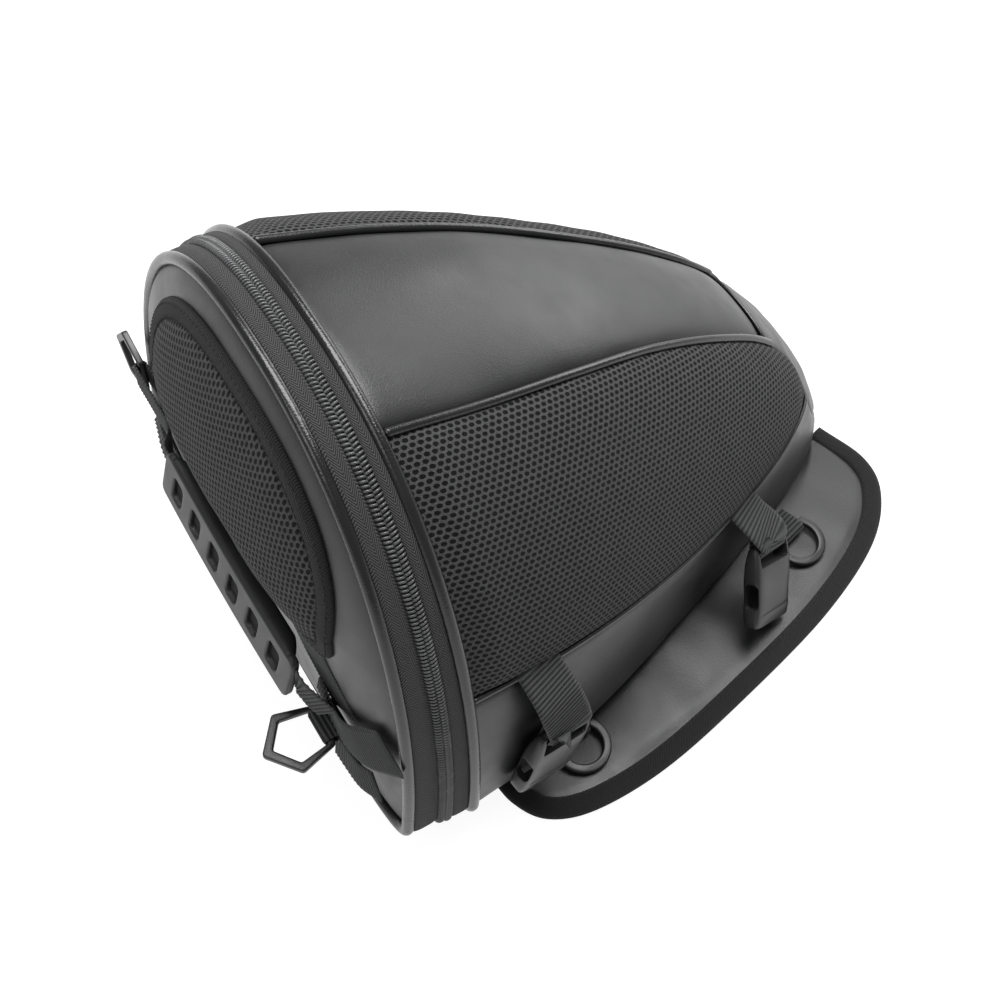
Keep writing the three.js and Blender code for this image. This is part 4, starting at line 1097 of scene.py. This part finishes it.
def lining():
    """Nylon lining of the shell, with the stiff bottom board under it."""
    y = np.linspace(1.0, BODY_LENGTH - 14, 60)[:, None]
    section = body_section(y, 4.6)
    turn = np.linspace(-1.3, math.pi + 1.3, 90)[None]
    folded = np.where(turn > math.pi / 2, math.pi - turn, turn)
    x, z = section_point(section, folded)
    x = np.where(turn > math.pi / 2, -x, x)
    z = np.maximum(z, 6.2)
    grid = points_grid(x, y, z)
    made = panel("shell_lining", grid, 0.7, outward_from_middle)
    dress(made, "lining", "bag_body", "fabric")
    y = np.linspace(2, BODY_LENGTH - 36, 40)[:, None]
    edge = foot_x(y) - 8
    x = edge * np.linspace(-1, 1, 25)[None]
    z = 5.4 + 0.25 * ripple(x, y, 5, 90)
    grid = points_grid(x, y, z)
    made = panel("bottom_board_cover", grid, 2.4, upwards)
    dress(made, "lining", "bag_body", "fabric", "base_board")


top_panel()
nose_panel()
for side_name, side_sign in SIDES:
    side_panel(side_name, side_sign)
    lower_band(side_name, side_sign)
    body_pipings(side_name, side_sign)
cross_seam()
bottom()
nose_tip()
lining()

# ---------------------------------------------------------------- zipped gusset


def arch(fraction, lift, turn):
    """Points x, z on the arch of the zipped end; turn 0 and 1 are its feet."""
    angle = mix(ARCH_END, math.pi - ARCH_END, np.asarray(turn, float))
    folded = np.where(angle > math.pi / 2, math.pi - angle, angle)
    x, z = section_point(rim_section(fraction, lift), folded)
    return np.where(angle > math.pi / 2, -x, x), z


def even_turns(count):
    """Turns that space points evenly round the arch."""
    fine = np.linspace(0, 1, 4000)
    x, z = arch(0.5, 0, fine)
    run = running_length(np.stack((x, z), axis=1))
    return np.interp(np.linspace(0, run[-1], count), run, fine), run[-1]


def body_rim(z):
    return 0 * z + BODY_RIM_Y


def split_y(z):
    return lid_plane(z) * (1 - ZIP_SPLIT)


def arch_band(name, from_y, to_y, fraction, thickness, lift, crown):
    turns = even_turns(260)[0]
    x, z = arch(fraction, lift, turns)
    share = np.linspace(0, 1, 13)[None]
    y = mix(from_y(z)[:, None], to_y(z)[:, None], share)
    swell = crown * (1 - (2 * share - 1) ** 4)
    x_out, z_out = arch(fraction, lift + 1.0, turns)
    dx = (x_out - x)[:, None]
    dz = (z_out - z)[:, None]
    grid = points_grid(x[:, None] + dx * swell, y, z[:, None] + dz * swell)
    return panel(name, grid, thickness, outward_from_middle)


def rim_cord(name, fraction, y_of, radius, body, *nodes):
    turns = even_turns(300)[0]
    x, z = arch(fraction, 0, turns)
    points = np.stack((x, y_of(z), z), axis=1)
    up = unit(np.stack((x, 0 * x, z - 60), axis=1))
    return dress(tube(name, points, radius, up, 20), "piping", body, "leather", *nodes)


def coil_row(name, towards_rim, fraction, body, node):
    """One half of the zip: a moulded coil whose turns lie side by side along the arch."""
    count = int(even_turns(2)[1] / COIL_PITCH)
    fine = even_turns(count * 2 + 1)[0]
    middle = fine[1::2] if towards_rim > 0 else fine[2::2]
    # Each turn runs from the split, where it has a small head, over the top to the tape.
    profile = ((-0.35, -0.1, 1.15), (0.25, 0.75, 1.2), (1.2, 1.25, 1.0), (2.2, 1.2, 1.0), (3.1, 0.75, 1.0),
               (3.6, -0.2, 0.95))
    ring = np.linspace(0, 2 * math.pi, 7, endpoint=False)
    points = []
    faces = []
    cloth = []
    for index, turn in enumerate(middle):
        x, z = arch(fraction, 1.0, turn)
        x_out, z_out = arch(fraction, 2.0, turn)
        x_next, z_next = arch(fraction, 1.0, min(turn + 0.001, 1))
        outward = unit(np.array((x_out - x, 0, z_out - z)))
        run = unit(np.array((x_next - x, 0, z_next - z)))
        split = np.array((x, split_y(z), z))
        sideways = np.array((0.0, towards_rim, 0.0))
        first = len(points)
        for away, rise, thick in profile:
            slant = run * 0.22 * (away - 1.6)
            centre = split + sideways * away + outward * (rise + 0.1) + slant
            for t in ring:
                points.append(centre + (outward * math.sin(t) + run * math.cos(t)) * COIL_WIRE * thick)
                cloth.append((index * COIL_PITCH, away, 0))
        faces += grid_faces(len(profile), 7, first, wrap=True)
        faces.append(tuple(range(first, first + 7)))
        last = first + 7 * (len(profile) - 1)
        faces.append(tuple(range(last + 6, last - 1, -1)))
    made = mesh_object(name, points, faces, cloth)
    fix_normals(made.data)
    return dress(made, "coil", body, "coil", node)


def gusset():
    """Rim pipings, tapes and coils of the zip."""
    clear = RIM_PIPING_RADIUS - 1.2
    rim_cord("body_rim_cord", 1, body_rim, RIM_PIPING_RADIUS, "bag_body", "body_rim_piping")
    rim_cord("lid_rim_cord", 0, lid_plane, RIM_PIPING_RADIUS, "lid", "lid_rim_piping")
    made = arch_band("body_zip_tape", lambda z: split_y(z) + TAPE_FROM_SPLIT, lambda z: body_rim(z) - clear,
                     0.75, 1.2, 1.0, 0.7)
    dress(made, "tape", "bag_body", "fabric", "zip_tape_body")
    made = arch_band("lid_zip_tape", lambda z: lid_plane(z) + clear, lambda z: split_y(z) - TAPE_FROM_SPLIT,
                     0.25, 1.2, 1.0, 1.0)
    dress(made, "tape", "lid", "fabric", "zip_tape_lid")
    # The tape runs on under each coil row, so nothing shows through between the turns.
    made = arch_band("body_coil_bed", lambda z: split_y(z) + COIL_BED_GAP,
                     lambda z: split_y(z) + COIL_BED_REACH, 0.6, 0.9, 0.6, 0)
    dress(made, "lining", "bag_body", "fabric")
    made = arch_band("lid_coil_bed", lambda z: split_y(z) - COIL_BED_REACH,
                     lambda z: split_y(z) - COIL_BED_GAP, 0.45, 0.9, 0.6, 0)
    dress(made, "lining", "lid", "fabric")
    coil_row("body_zip_coil", 1, 0.6, "bag_body", "zip_coil_body")
    coil_row("lid_zip_coil", -1, 0.45, "lid", "zip_coil_lid")


def hinge_tape():
    """Fabric between the feet of the arch, which bends as the lid turns down."""
    low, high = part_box("hinge_tape")
    x = np.linspace(low[0], high[0], 40)[None] / MM
    y = np.linspace(LID_Y + 2.5, 0.5, 24)[:, None]
    z = 1.9 + 0.5 * np.cos(y / 34.7 * 2 * math.pi) * 0.4 + 0 * x
    grid = points_grid(x, y, z)
    made = panel("fabric_hinge", grid, 1.1, upwards)
    dress(made, "lining", None, "fabric", "hinge_tape")
    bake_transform(made)


gusset()
hinge_tape()

# ---------------------------------------------------------------- lid


def lid_edge(turns, inset):
    """Outline of the lid inside its piping, by turn round the whole edge."""
    half_width, height, widest, under, bottom = rim_section(0, -inset)
    angle = 2 * math.pi * np.asarray(turns, float) - math.pi / 2
    near = np.zeros_like(angle)
    far = np.full_like(angle, 2.0 * LID_HEIGHT)
    for _ in range(40):
        reach = 0.5 * (near + far)
        x = np.abs(np.cos(angle) * reach)
        z = LID_CENTRE_Z + np.sin(angle) * reach
        above = z > widest
        tall = np.where(above, height - widest, widest - bottom)
        power = np.where(above, ARCH_POWER, under)
        inside = (x / half_width) ** power + (np.abs(z - widest) / tall) ** power < 1
        near = np.where(inside, reach, near)
        far = np.where(inside, far, reach)
    return np.cos(angle) * near, LID_CENTRE_Z + np.sin(angle) * near


def disc(name, rings, segments, edge, face, back):
    """Closed disc between two faces; edge(turns) is its outline about (0, centre)."""
    turns = np.arange(segments) / segments
    edge_x, edge_z, centre_z = edge(turns)
    share = (np.arange(1, rings + 1) / rings)[:, None]
    x = np.concatenate(((0.0,), (share * edge_x[None]).ravel()))
    z = np.concatenate(((centre_z,), mix(centre_z, edge_z[None], share).ravel()))
    radius = np.concatenate(((0.0,), np.repeat(share.ravel(), segments)))
    front = np.stack((x, face(x, z, radius), z), axis=1)
    rear = np.stack((x, back(x, z, radius), z), axis=1)
    count = len(x)
    faces = []
    for k in range(segments):
        after = (k + 1) % segments
        faces.append((0, 1 + k, 1 + after))
        faces.append((count, count + 1 + after, count + 1 + k))
        outer = 1 + (rings - 1) * segments
        faces.append((outer + k, count + outer + k, count + outer + after, outer + after))
        for ring in range(rings - 1):
            a = 1 + ring * segments
            b = a + segments
            faces.append((a + k, b + k, b + after, a + after))
            faces.append((count + a + k, count + a + after, count + b + after, count + b + k))
    cloth = np.stack((z, x, 0 * x), axis=1)
    made = mesh_object(name, np.concatenate((front, rear)), faces, np.concatenate((cloth, cloth)))
    fix_normals(made.data)
    return made


def lid_panels():
    def edge(turns):
        x, z = lid_edge(turns, RIM_PIPING_RADIUS - 1.0)
        return x, z, LID_CENTRE_Z

    def face(x, z, radius):
        return lid_face(x, z) + 1.6 * np.exp(-(1 - radius) * 30) - 0.3 * ripple(x, z, 41, 120)

    def back(x, z, radius):
        return lid_face(x, z) + 2.6

    made = disc("lid_leather", 60, 220, edge, face, back)
    dress(made, "leather", "lid", "leather", "lid_shell")

    def inner_face(x, z, radius):
        return lid_plane(z) + 5.0 + 0 * x

    def inner_back(x, z, radius):
        return lid_plane(z) + 3.2 + 0 * x

    made = disc("lid_lining", 16, 120, edge, inner_face, inner_back)
    dress(made, "lining", "lid", "fabric", "lid_board")


PAD_POWER = 2.3
PAD_FOOT_POWER = 5


def pad_edge(turns, shrink):
    angle = 2 * math.pi * np.asarray(turns, float)
    above = np.sin(angle) >= 0
    power = np.where(above, PAD_POWER, PAD_FOOT_POWER)
    reach = np.where(above, PAD_TOP - PAD_WIDEST, PAD_WIDEST - PAD_BOTTOM)
    x = (PAD_HALF_WIDTH - shrink) * np.sign(np.cos(angle)) * np.abs(np.cos(angle)) ** (2 / power)
    z = (reach - shrink) * np.sign(np.sin(angle)) * np.abs(np.sin(angle)) ** (2 / power)
    return x, PAD_WIDEST + z


def even_pad_turns(count):
    fine = np.linspace(0, 1, 6000)
    x, z = pad_edge(fine, 0)
    run = running_length(np.stack((x, z), axis=1))
    return np.interp(np.arange(count) / count * run[-1], run, fine)


def lid_pad():
    """Padded mesh half-moon with its binding and two rows of stitches."""
    turns = even_pad_turns(220)

    def edge(_):
        x, z = pad_edge(turns, PAD_BINDING_WIDTH - 1.5)
        return x, z, PAD_WIDEST

    def face(x, z, radius):
        crown = 2.0 + (PAD_CROWN - 2.0) * (1 - radius**4) ** 0.6 + 0.25 * ripple(x, z, 51, 60)
        return lid_face(x, z) - crown

    def back(x, z, radius):
        return lid_face(x, z) - 0.2

    made = disc("lid_mesh_pad", 50, 220, edge, face, back)
    dress(made, "mesh", "lid", "mesh", "lid_pad")

    sections = []
    profile = ((0.0, 0.1), (0.0, 1.6), (0.9, 2.6), (2.4, 3.1), (4.5, 3.2), (6.6, 3.1), (8.1, 2.6), (9.0, 1.6),
               (9.0, 0.1))
    for shrink, rise in profile:
        x, z = pad_edge(turns, shrink)
        y = lid_face(x, z) - rise
        sections.append(np.stack((x, y, z), axis=1))
    sections = np.stack(sections, axis=1)
    run = running_length(sections[:, 4])
    widths = np.array([spot[0] for spot in profile])
    cloth = points_grid(run[:, None], widths[None], 0)
    made = sweep("lid_pad_edge_binding", sections, cloth, closed=True)
    dress(made, "binding", "lid", "webbing", "lid_pad_binding")
    for label, shrink in (("outer", 1.6), ("inner", 7.6)):
        x, z = pad_edge(turns, shrink)
        path = np.stack((x, lid_face(x, z) - 2.9, z), axis=1)
        path = np.concatenate((path, path[:1]))
        up = np.broadcast_to((0.0, -1.0, 0.0), path.shape)
        dress(stitches(f"pad_stitches_{label}", path, up), "thread", "lid", "fabric")


lid_panels()
lid_pad()

# ---------------------------------------------------------------- carry handle


def grip_y(x):
    return GRIP_END_Y - GRIP_BOW * (1 - (x / GRIP_HALF_LENGTH) ** 2)


def bent_to_grip(points, back=0):
    """Flat plate's points on the bowed and tilted grip, set back towards the lid."""
    x, up, depth = points.T
    y = grip_y(x) + GRIP_TILT * up + depth + back
    return np.stack((x, y, GRIP_LEVEL + up * math.sqrt(1 - GRIP_TILT**2)), axis=1)


def handle():
    """Rubber grip with its cut-outs, dark core, upper edge and webbing ends."""
    half = GRIP_HALF_LENGTH
    tall = GRIP_HEIGHT / 2
    outer = rounded_rectangle(half, tall, 5, 7)
    pitch = 2 * half / (GRIP_SLOTS + 0.6)
    holes = []
    for k in range(GRIP_SLOTS):
        middle = (k - (GRIP_SLOTS - 1) / 2) * pitch
        wide = pitch * 0.25
        high = GRIP_HEIGHT * 0.26
        holes.append(rounded_rectangle(wide, high, 3, 6, middle))
    points, faces = outline_plate("handle_grip_outline", outer, holes, GRIP_THICKNESS, 1.2, cut_pitch=3)
    made = mesh_object("handle_rubber_grip", bent_to_grip(points), faces)
    smooth_shading(made, GRIP_SHARP_ANGLE)
    dress(made, "rubber", "handle", "rubber", "handle_grip")
    # Dark core, seen at the bottom of the cut-outs.
    inner = rounded_rectangle(half - CORE_INSET, tall - CORE_INSET, 4, 7)
    points, faces = outline_plate("handle_core_outline", inner, [], CORE_THICKNESS, 0.3, cut_pitch=3)
    made = mesh_object("handle_core", bent_to_grip(points, CORE_DEPTH), faces)
    smooth_shading(made, GRIP_SHARP_ANGLE)
    dress(made, "binding", "handle", "webbing")
    # Thick moulded upper edge, turned in towards the lid; it reaches in far enough to close the gap to the
    # pad, a dark piece that stands in for the shade in that gap.
    x = np.linspace(6 - half, half - 6, 70)[:, None]
    ends = np.clip((half - 5 - np.abs(x)) / 9, 0.15, 1) ** 0.5
    out = np.array(GRIP_EDGE_PROFILE)
    y = grip_y(x) + GRIP_TILT * (tall - 1.5) + out[:, 0] * np.where(out[:, 0] > 0, ends, 1)
    z = GRIP_LEVEL + tall - 1.9 + out[:, 1] + 0 * x
    sections = points_grid(x, y, z)
    dress(sweep("handle_grip_edge", sections), "rubber", "handle", "rubber")
    for name, sign in SIDES:
        path = ((half - 12, 3.0, 0), (half + 1, 2.2, -1.5), (half + 8, 4.0, -5.5), (half + 16, 8.0, -11.5))
        path = [(sign * x, GRIP_END_Y + y, GRIP_LEVEL + z) for x, y, z in path]
        made = strap(f"handle_strap_{name}", path, (sign * 0.1, 0, 1), WEBBING_WIDTH - 2)
        dress(made, "webbing", "handle", "webbing", f"handle_webbing_{name}")


handle()

# ---------------------------------------------------------------- rings and straps on the lid

RING_OUTLINE = ((11, -1.7), (16.5, 18), (0, 31), (-16.5, 18), (-11, -1.7))
RING_INSIDE = ((9.4, 1.7), (11.8, 16.6), (0, 25.4), (-11.8, 16.6), (-9.4, 1.7))
RIGHT_BAR = (81, -48, 58)
LEFT_BAR = (-127, -40.4, 83)
RING_STRAP_WIDTH = 17.5
TAIL_ROUTE = ((87, -44, 46), (97, -43.6, 46.5), (108, -43, 49.5), (119, -40.4, 56))
ANCHOR_ROUTE = ((66, 124), (70, 108), (78, 92), (88, 78))


def lid_rings():
    outer = rounded_outline(RING_OUTLINE, 2.4, 5)
    inner = rounded_outline(RING_INSIDE, 1.8, 5)
    points, faces = outline_plate("lid_ring_outline", outer, [inner], 3.4, 0.8)
    for name, bar, axes in (("right", RIGHT_BAR, ((1, 0, 0), (0, -1, 0), (0, 0, -1))),
                            ("left", LEFT_BAR, ((0, 0, 1), (-1, 0, 0), (0, -1, 0)))):
        made = mesh_object(f"strap_ring_{name}", turned(points, bar, *axes), faces)
        smooth_shading(made, 40)
        dress(made, "plastic", f"lid_ring_{name}", "plastic", f"lid_ring_{name}")


def loop_round(bar, away, lift, radius, come_in, go_back):
    """Path of webbing that comes in on one side of a bar, passes round it and goes back."""
    bar, away, lift = (np.asarray(item, float) for item in (bar, away, lift))
    spots = [(-come_in[0], come_in[1]), (-0.4 * come_in[0], mix(radius, come_in[1], 0.3)), (0, radius)]
    spots += [(radius * math.sin(t), radius * math.cos(t)) for t in np.radians((30, 60, 90, 120, 150))]
    spots += [(0, -radius), (-0.4 * go_back[0], mix(-radius, go_back[1], 0.3)), (-go_back[0], go_back[1])]
    return [bar + away * out + lift * side for out, side in spots]


def lid_straps():
    up = np.array((0.0, 0.0, 1.0))
    outwards = np.array((0.0, -1.0, 0.0))
    radius = 2.0 + WEBBING_THICKNESS / 2
    path = loop_round(RIGHT_BAR, outwards, up, radius, (10, 3.2), (10, -3.2))
    made = strap("ring_tab_webbing", path, (1, 0, 0), RING_STRAP_WIDTH)
    dress(made, "webbing", "lid", "webbing", "ring_tab_right")
    path = loop_round(LEFT_BAR, (-1, 0, 0), outwards, radius, (38, 3.0), (9, -3.0))
    made = strap("lid_strap_left_webbing", path, (0, 0, 1), RING_STRAP_WIDTH)
    dress(made, "webbing", "lid", "webbing", "lid_strap_left")
    path = ((127, -37.0, 104), (119, -39.4, 94), (108, -42.6, 82), (97, -43.6, 74), (84, -43.2, 71),
            (68, -41.8, 75))
    across = ((0.74, 0.1, -0.66), (0.7, 0.1, -0.7), (0.45, 0.05, -0.88), (0.1, 0, -1), (-0.1, 0, -1))
    made = strap("lid_strap_right_webbing", path, across)
    dress(made, "webbing", "lid", "webbing", "lid_strap_right")
    for name, sign in SIDES:
        path = [(sign * x, y, z) for x, y, z in TAIL_ROUTE]
        made = strap(f"strap_tail_{name}_webbing", path, (sign * -0.05, 0.1, 1), 19)
        dress(made, "webbing", "lid", "webbing", f"strap_tail_{name}")
        # The anchor of the handle's webbing comes out from under the pad.
        path = [(sign * x, float(lid_face(x, z)) - 1.2, z) for x, z in ANCHOR_ROUTE]
        made = strap(f"handle_anchor_{name}_webbing", path, (sign * 0.92, 0.12, 0.38), 22)
        dress(made, "webbing", "lid", "webbing")


lid_rings()
lid_straps()

# ---------------------------------------------------------------- buckles

BUCKLES = (("front", 37, (142.5, 44.5, 72.5), (0, -0.25, -0.97)),
           ("rear", 190, (100, 199, 46), (0.57, -0.27, -0.77)))
BUCKLE_LENGTH = 43
BAR_HALF = 2.2


def block(low, high, rounding=0.0):
    """Cutting block for a buckle, in its own millimetres."""
    shape = bmesh.new()
    bmesh.ops.create_cube(shape, size=1.0)
    for vertex in shape.verts:
        vertex.co = Vector([mix(low[k], high[k], vertex.co[k] + 0.5) for k in range(3)])
    if rounding:
        bmesh.ops.bevel(shape, geom=shape.edges[:], offset=rounding, segments=3, affect="EDGES", profile=0.5)
    mesh = bpy.data.meshes.new("cutter")
    shape.to_mesh(mesh)
    shape.free()
    return mesh


def carve(mesh, cutters):
    """Mesh with the cutters' solids taken away."""
    made = bpy.data.objects.new("carved", mesh)
    bpy.context.scene.collection.objects.link(made)
    helpers = []
    for cutter in cutters:
        helper = bpy.data.objects.new("cutter", cutter)
        bpy.context.scene.collection.objects.link(helper)
        helpers.append(helper)
        modifier = made.modifiers.new("cut", "BOOLEAN")
        modifier.object = helper
        modifier.operation = "DIFFERENCE"
        modifier.solver = "EXACT"
    bevel = made.modifiers.new("edges", "BEVEL")
    bevel.width = 0.45
    bevel.segments = 2
    bevel.limit_method = "ANGLE"
    bevel.angle_limit = math.radians(40)
    bpy.context.view_layer.update()
    carved = bpy.data.meshes.new_from_object(made.evaluated_get(bpy.context.evaluated_depsgraph_get()))
    for helper in [made, *helpers]:
        bpy.data.objects.remove(helper)
    return carved


def buckle_mesh():
    """Socket half of a side-release buckle: it hangs to -y from its bar at the origin, front to +z."""
    foot = BAR_HALF - BUCKLE_LENGTH
    stations = ((BAR_HALF, 14.8, 2.3), (0.4, 15.6, 3.2), (-3, 16.2, 4.0), (-8, 16.5, 4.9), (-14, 16.5, 5.4),
                (-20, 16.2, 5.5), (-26, 15.8, 5.5), (-32, 16.2, 5.4), (-37, 16.4, 5.1), (foot, 16.0, 4.7))
    turn = np.linspace(0, 2 * math.pi, 48, endpoint=False)
    sections = []
    for y, wide, thick in stations:
        power = 2 / 6.0
        x = wide * np.sign(np.cos(turn)) * np.abs(np.cos(turn)) ** power
        z = thick * np.sign(np.sin(turn)) * np.abs(np.sin(turn)) ** power
        sections.append(np.stack((x, np.full_like(x, y), z), axis=1))
    rows = len(sections)
    mesh = bpy.data.meshes.new("buckle")
    faces = grid_faces(rows, 48, wrap=True)
    faces.append(tuple(range(47, -1, -1)))
    faces.append(tuple((rows - 1) * 48 + j for j in range(48)))
    mesh.from_pydata(np.concatenate(sections).tolist(), [], faces)
    fix_normals(mesh)
    cutters = [
        block((-13.3, -8.2, -12), (13.3, -BAR_HALF, 12), 0.8),
        block((-13.0, foot - 5, -3.2), (13.0, foot + 25, 3.2), 0.9),
        block((-13.3, -BAR_HALF, 2.3), (13.3, 8, 12)),
        block((-13.3, -BAR_HALF, -12), (13.3, 8, -2.3)),
        block((-30, -31, -3.4), (-11.5, -17, 4.4), 2.2),
        block((11.5, -31, -3.4), (30, -17, 4.4), 2.2),
        block((-30, -34.4, 5.0), (30, -33.6, 8)),
        block((-30, -34.4, -8), (30, -33.6, -5.0)),
    ]
    return carve(mesh, cutters)


def low_seam_point(sign, y):
    section = body_section(float(y))
    x, z = section_point(section, angle_at_z(section, along(LOW_SEAM, y)))
    return np.array((sign * float(x), y, float(z)))


def buckles():
    """Four sockets, each hanging in the webbing that comes out of the lower seam."""
    mesh = buckle_mesh()
    own = np.array([vertex.co[:] for vertex in mesh.vertices])
    faces = [tuple(polygon.vertices) for polygon in mesh.polygons]
    for side, sign in SIDES:
        for name, seam_y, bar, hang in BUCKLES:
            bar = np.array(bar) * (sign, 1, 1)
            hang = unit(np.array(hang) * (sign, 1, 1))
            run = low_seam_point(sign, seam_y + 5) - low_seam_point(sign, seam_y - 5)
            bar_line = unit(run - hang * (run @ hang))
            front = unit(np.cross(bar_line, hang) * -sign)
            wide = np.cross(-hang, front)
            made = mesh_object(f"buckle_socket_{name}_{side}", turned(own, bar, wide, -hang, front), faces)
            smooth_shading(made, 35)
            dress(made, "plastic", f"buckle_{name}_{side}", "plastic", f"buckle_{name}_{side}")
            radius = BAR_HALF + 0.2 + WEBBING_THICKNESS / 2
            loop = loop_round(bar, hang, front, radius, (5, radius + 0.3), (9, -radius))
            seam = low_seam_point(sign, seam_y)
            outward = unit(seam * (1, 0, 0) + np.array((0, 10, 12)))
            reach = np.linalg.norm(loop[0] - seam)
            shoulder = mix(seam, loop[0], 0.4) + outward * 0.13 * reach
            rise = unit(np.array((-0.45 * sign, 0, 1.0)))
            path = [seam + rise * 6 - outward * 4.5, seam + rise * 1.5 + outward * 0.4, shoulder, *loop]
            across = (unit(run), mix(unit(run), bar_line, 0.6), bar_line)
            made = strap(f"buckle_webbing_{name}_{side}", path, across)
            dress(made, "webbing", "bag_body", "webbing", f"buckle_loop_{name}_{side}")


buckles()

# ---------------------------------------------------------------- wings and their rings

WING_ROOT = (22, 286)
WING_RINGS = (("front", (126.5, 67), (0.99, 0.14)), ("rear", (85, 234), (0.96, 0.28)))
RING_BAR_LEVEL = 8.6
D_RING_WIRE = 3.3
D_RING_BAND = 4.4
D_RING_RADIUS = 13.2


def wing_edge(count):
    """Outer edge of the right wing, with the direction that points inwards."""
    points = curve_through([(x, y, 0) for x, y in WING_OUTLINE], count)
    heading = tangents(points)
    inward = np.stack((-heading[:, 1], heading[:, 0], 0 * heading[:, 0]), axis=1)
    return points, inward


def wing(side, sign):
    """Padded leather wing with its edge binding and the stitches along it."""
    count = 170
    edge, inward = wing_edge(count)
    body = f"wing_{side}"
    inner_edge = edge + inward * (WING_BINDING_WIDTH - 3)
    y = np.linspace(*WING_ROOT, count)
    root = np.stack((foot_x(y) - 1, y, 0 * y), axis=1)
    share = np.linspace(0, 1, 40)[None, :, None]
    grid = mix(root[:, None], inner_edge[:, None], share)
    x, length = grid[..., 0], grid[..., 1]
    lift = 0.8 * ripple(x, length, 61, 120)
    ease = smooth(0, 0.25, share[..., 0]) * smooth(0, 0.2, 1 - share[..., 0])
    grid[..., 2] = WING_THICKNESS - 0.2 + lift * ease - 0.6 * (1 - smooth(0, 0.15, 1 - share[..., 0]))
    grid = grid * (sign, 1, 1)
    made = panel(f"wing_leather_{side}", grid, 2.8, upwards)
    dress(made, "leather", body, "leather", f"wing_{side}")

    # The binding folds round the edge: a flat top strip, a rounded outside and a flat underside.
    profile = ((WING_BINDING_WIDTH, 3.5), (WING_BINDING_WIDTH - 0.3, 4.5), (8, 4.9), (5, 5.0), (2.5, 4.8),
               (0.9, 4.1), (0.1, 3.0), (0.0, 2.2), (0.3, 1.1), (1.4, 0.3), (4, 0.1),
               (WING_BINDING_WIDTH, 0.1))
    sections = np.stack([edge + inward * depth + np.array((0, 0, level)) for depth, level in profile], axis=1)
    sections = sections * (sign, 1, 1)
    run = running_length(edge)
    girth = running_length(np.array(profile))
    cloth = points_grid(run[:, None], girth[None], 0)
    made = sweep(f"wing_edge_binding_{side}", sections, cloth)
    dress(made, "binding", body, "webbing", f"wing_binding_{side}")
    path = (edge + inward * (WING_BINDING_WIDTH - 1.6) + np.array((0, 0, 4.6))) * (sign, 1, 1)
    up = np.broadcast_to((0.0, 0.0, 1.0), path.shape)
    dress(stitches(f"wing_stitches_{side}", path, up), "thread", body, "fabric")


def wing_rings(side, sign):
    """D-rings lying on the wing, each in its loop of webbing."""
    centre = D_RING_RADIUS * 0.5
    outer_radius = D_RING_RADIUS + D_RING_WIRE / 2
    outlines = []
    for radius, below, steps in ((outer_radius, D_RING_WIRE / 2, 44),
                                 (outer_radius - D_RING_BAND, -D_RING_WIRE / 2, 40)):
        low = -math.asin((centre + below) / radius)
        outlines.append(arc((0, centre), radius, low, math.pi - low, steps))
    outer, inner = outlines
    points, faces = outline_plate("d_ring_outline", outer, [inner], D_RING_WIRE, 0.95)
    up = np.array((0.0, 0.0, 1.0))
    for name, spot, away in WING_RINGS:
        bar = np.array((sign * spot[0], spot[1], RING_BAR_LEVEL))
        out = unit(np.array((sign * away[0], away[1], 0)))
        across = np.cross(up, out)
        drop = RING_BAR_LEVEL - WING_THICKNESS - 0.35 - D_RING_WIRE / 2
        lying = unit(out * 1.5 * D_RING_RADIUS - up * drop)
        placed = turned(points, bar, across, lying, np.cross(across, lying))
        made = mesh_object(f"d_ring_{name}_{side}", placed, faces)
        smooth_shading(made, 40)
        dress(made, "plastic", f"wing_ring_{name}_{side}", "plastic", f"wing_ring_{name}_{side}")
        radius = D_RING_WIRE / 2 + 0.5 + WEBBING_THICKNESS / 2
        come_in = (8, 2.6) if name == "front" else (12, 2.0)
        path = loop_round(bar, out, up, radius, come_in, (11, -radius))
        made = strap(f"ring_webbing_{name}_{side}", path, across, 17)
        dress(made, "webbing", f"wing_{side}", "webbing", f"ring_loop_{name}_{side}")


for side_name, side_sign in SIDES:
    wing(side_name, side_sign)
    wing_rings(side_name, side_sign)

# ---------------------------------------------------------------- zip slider

SLIDER_EDGE = 0.3

for node in ("zip_slider", "slider_pull"):
    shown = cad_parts[node]
    shown.data.materials.clear()
    shown.data.materials.append(MATERIALS["metal"])
    softened = shown.modifiers.new("edges", "BEVEL")
    softened.width = SLIDER_EDGE * MM
    softened.segments = 2
    softened.limit_method = "ANGLE"
    softened.angle_limit = math.radians(40)
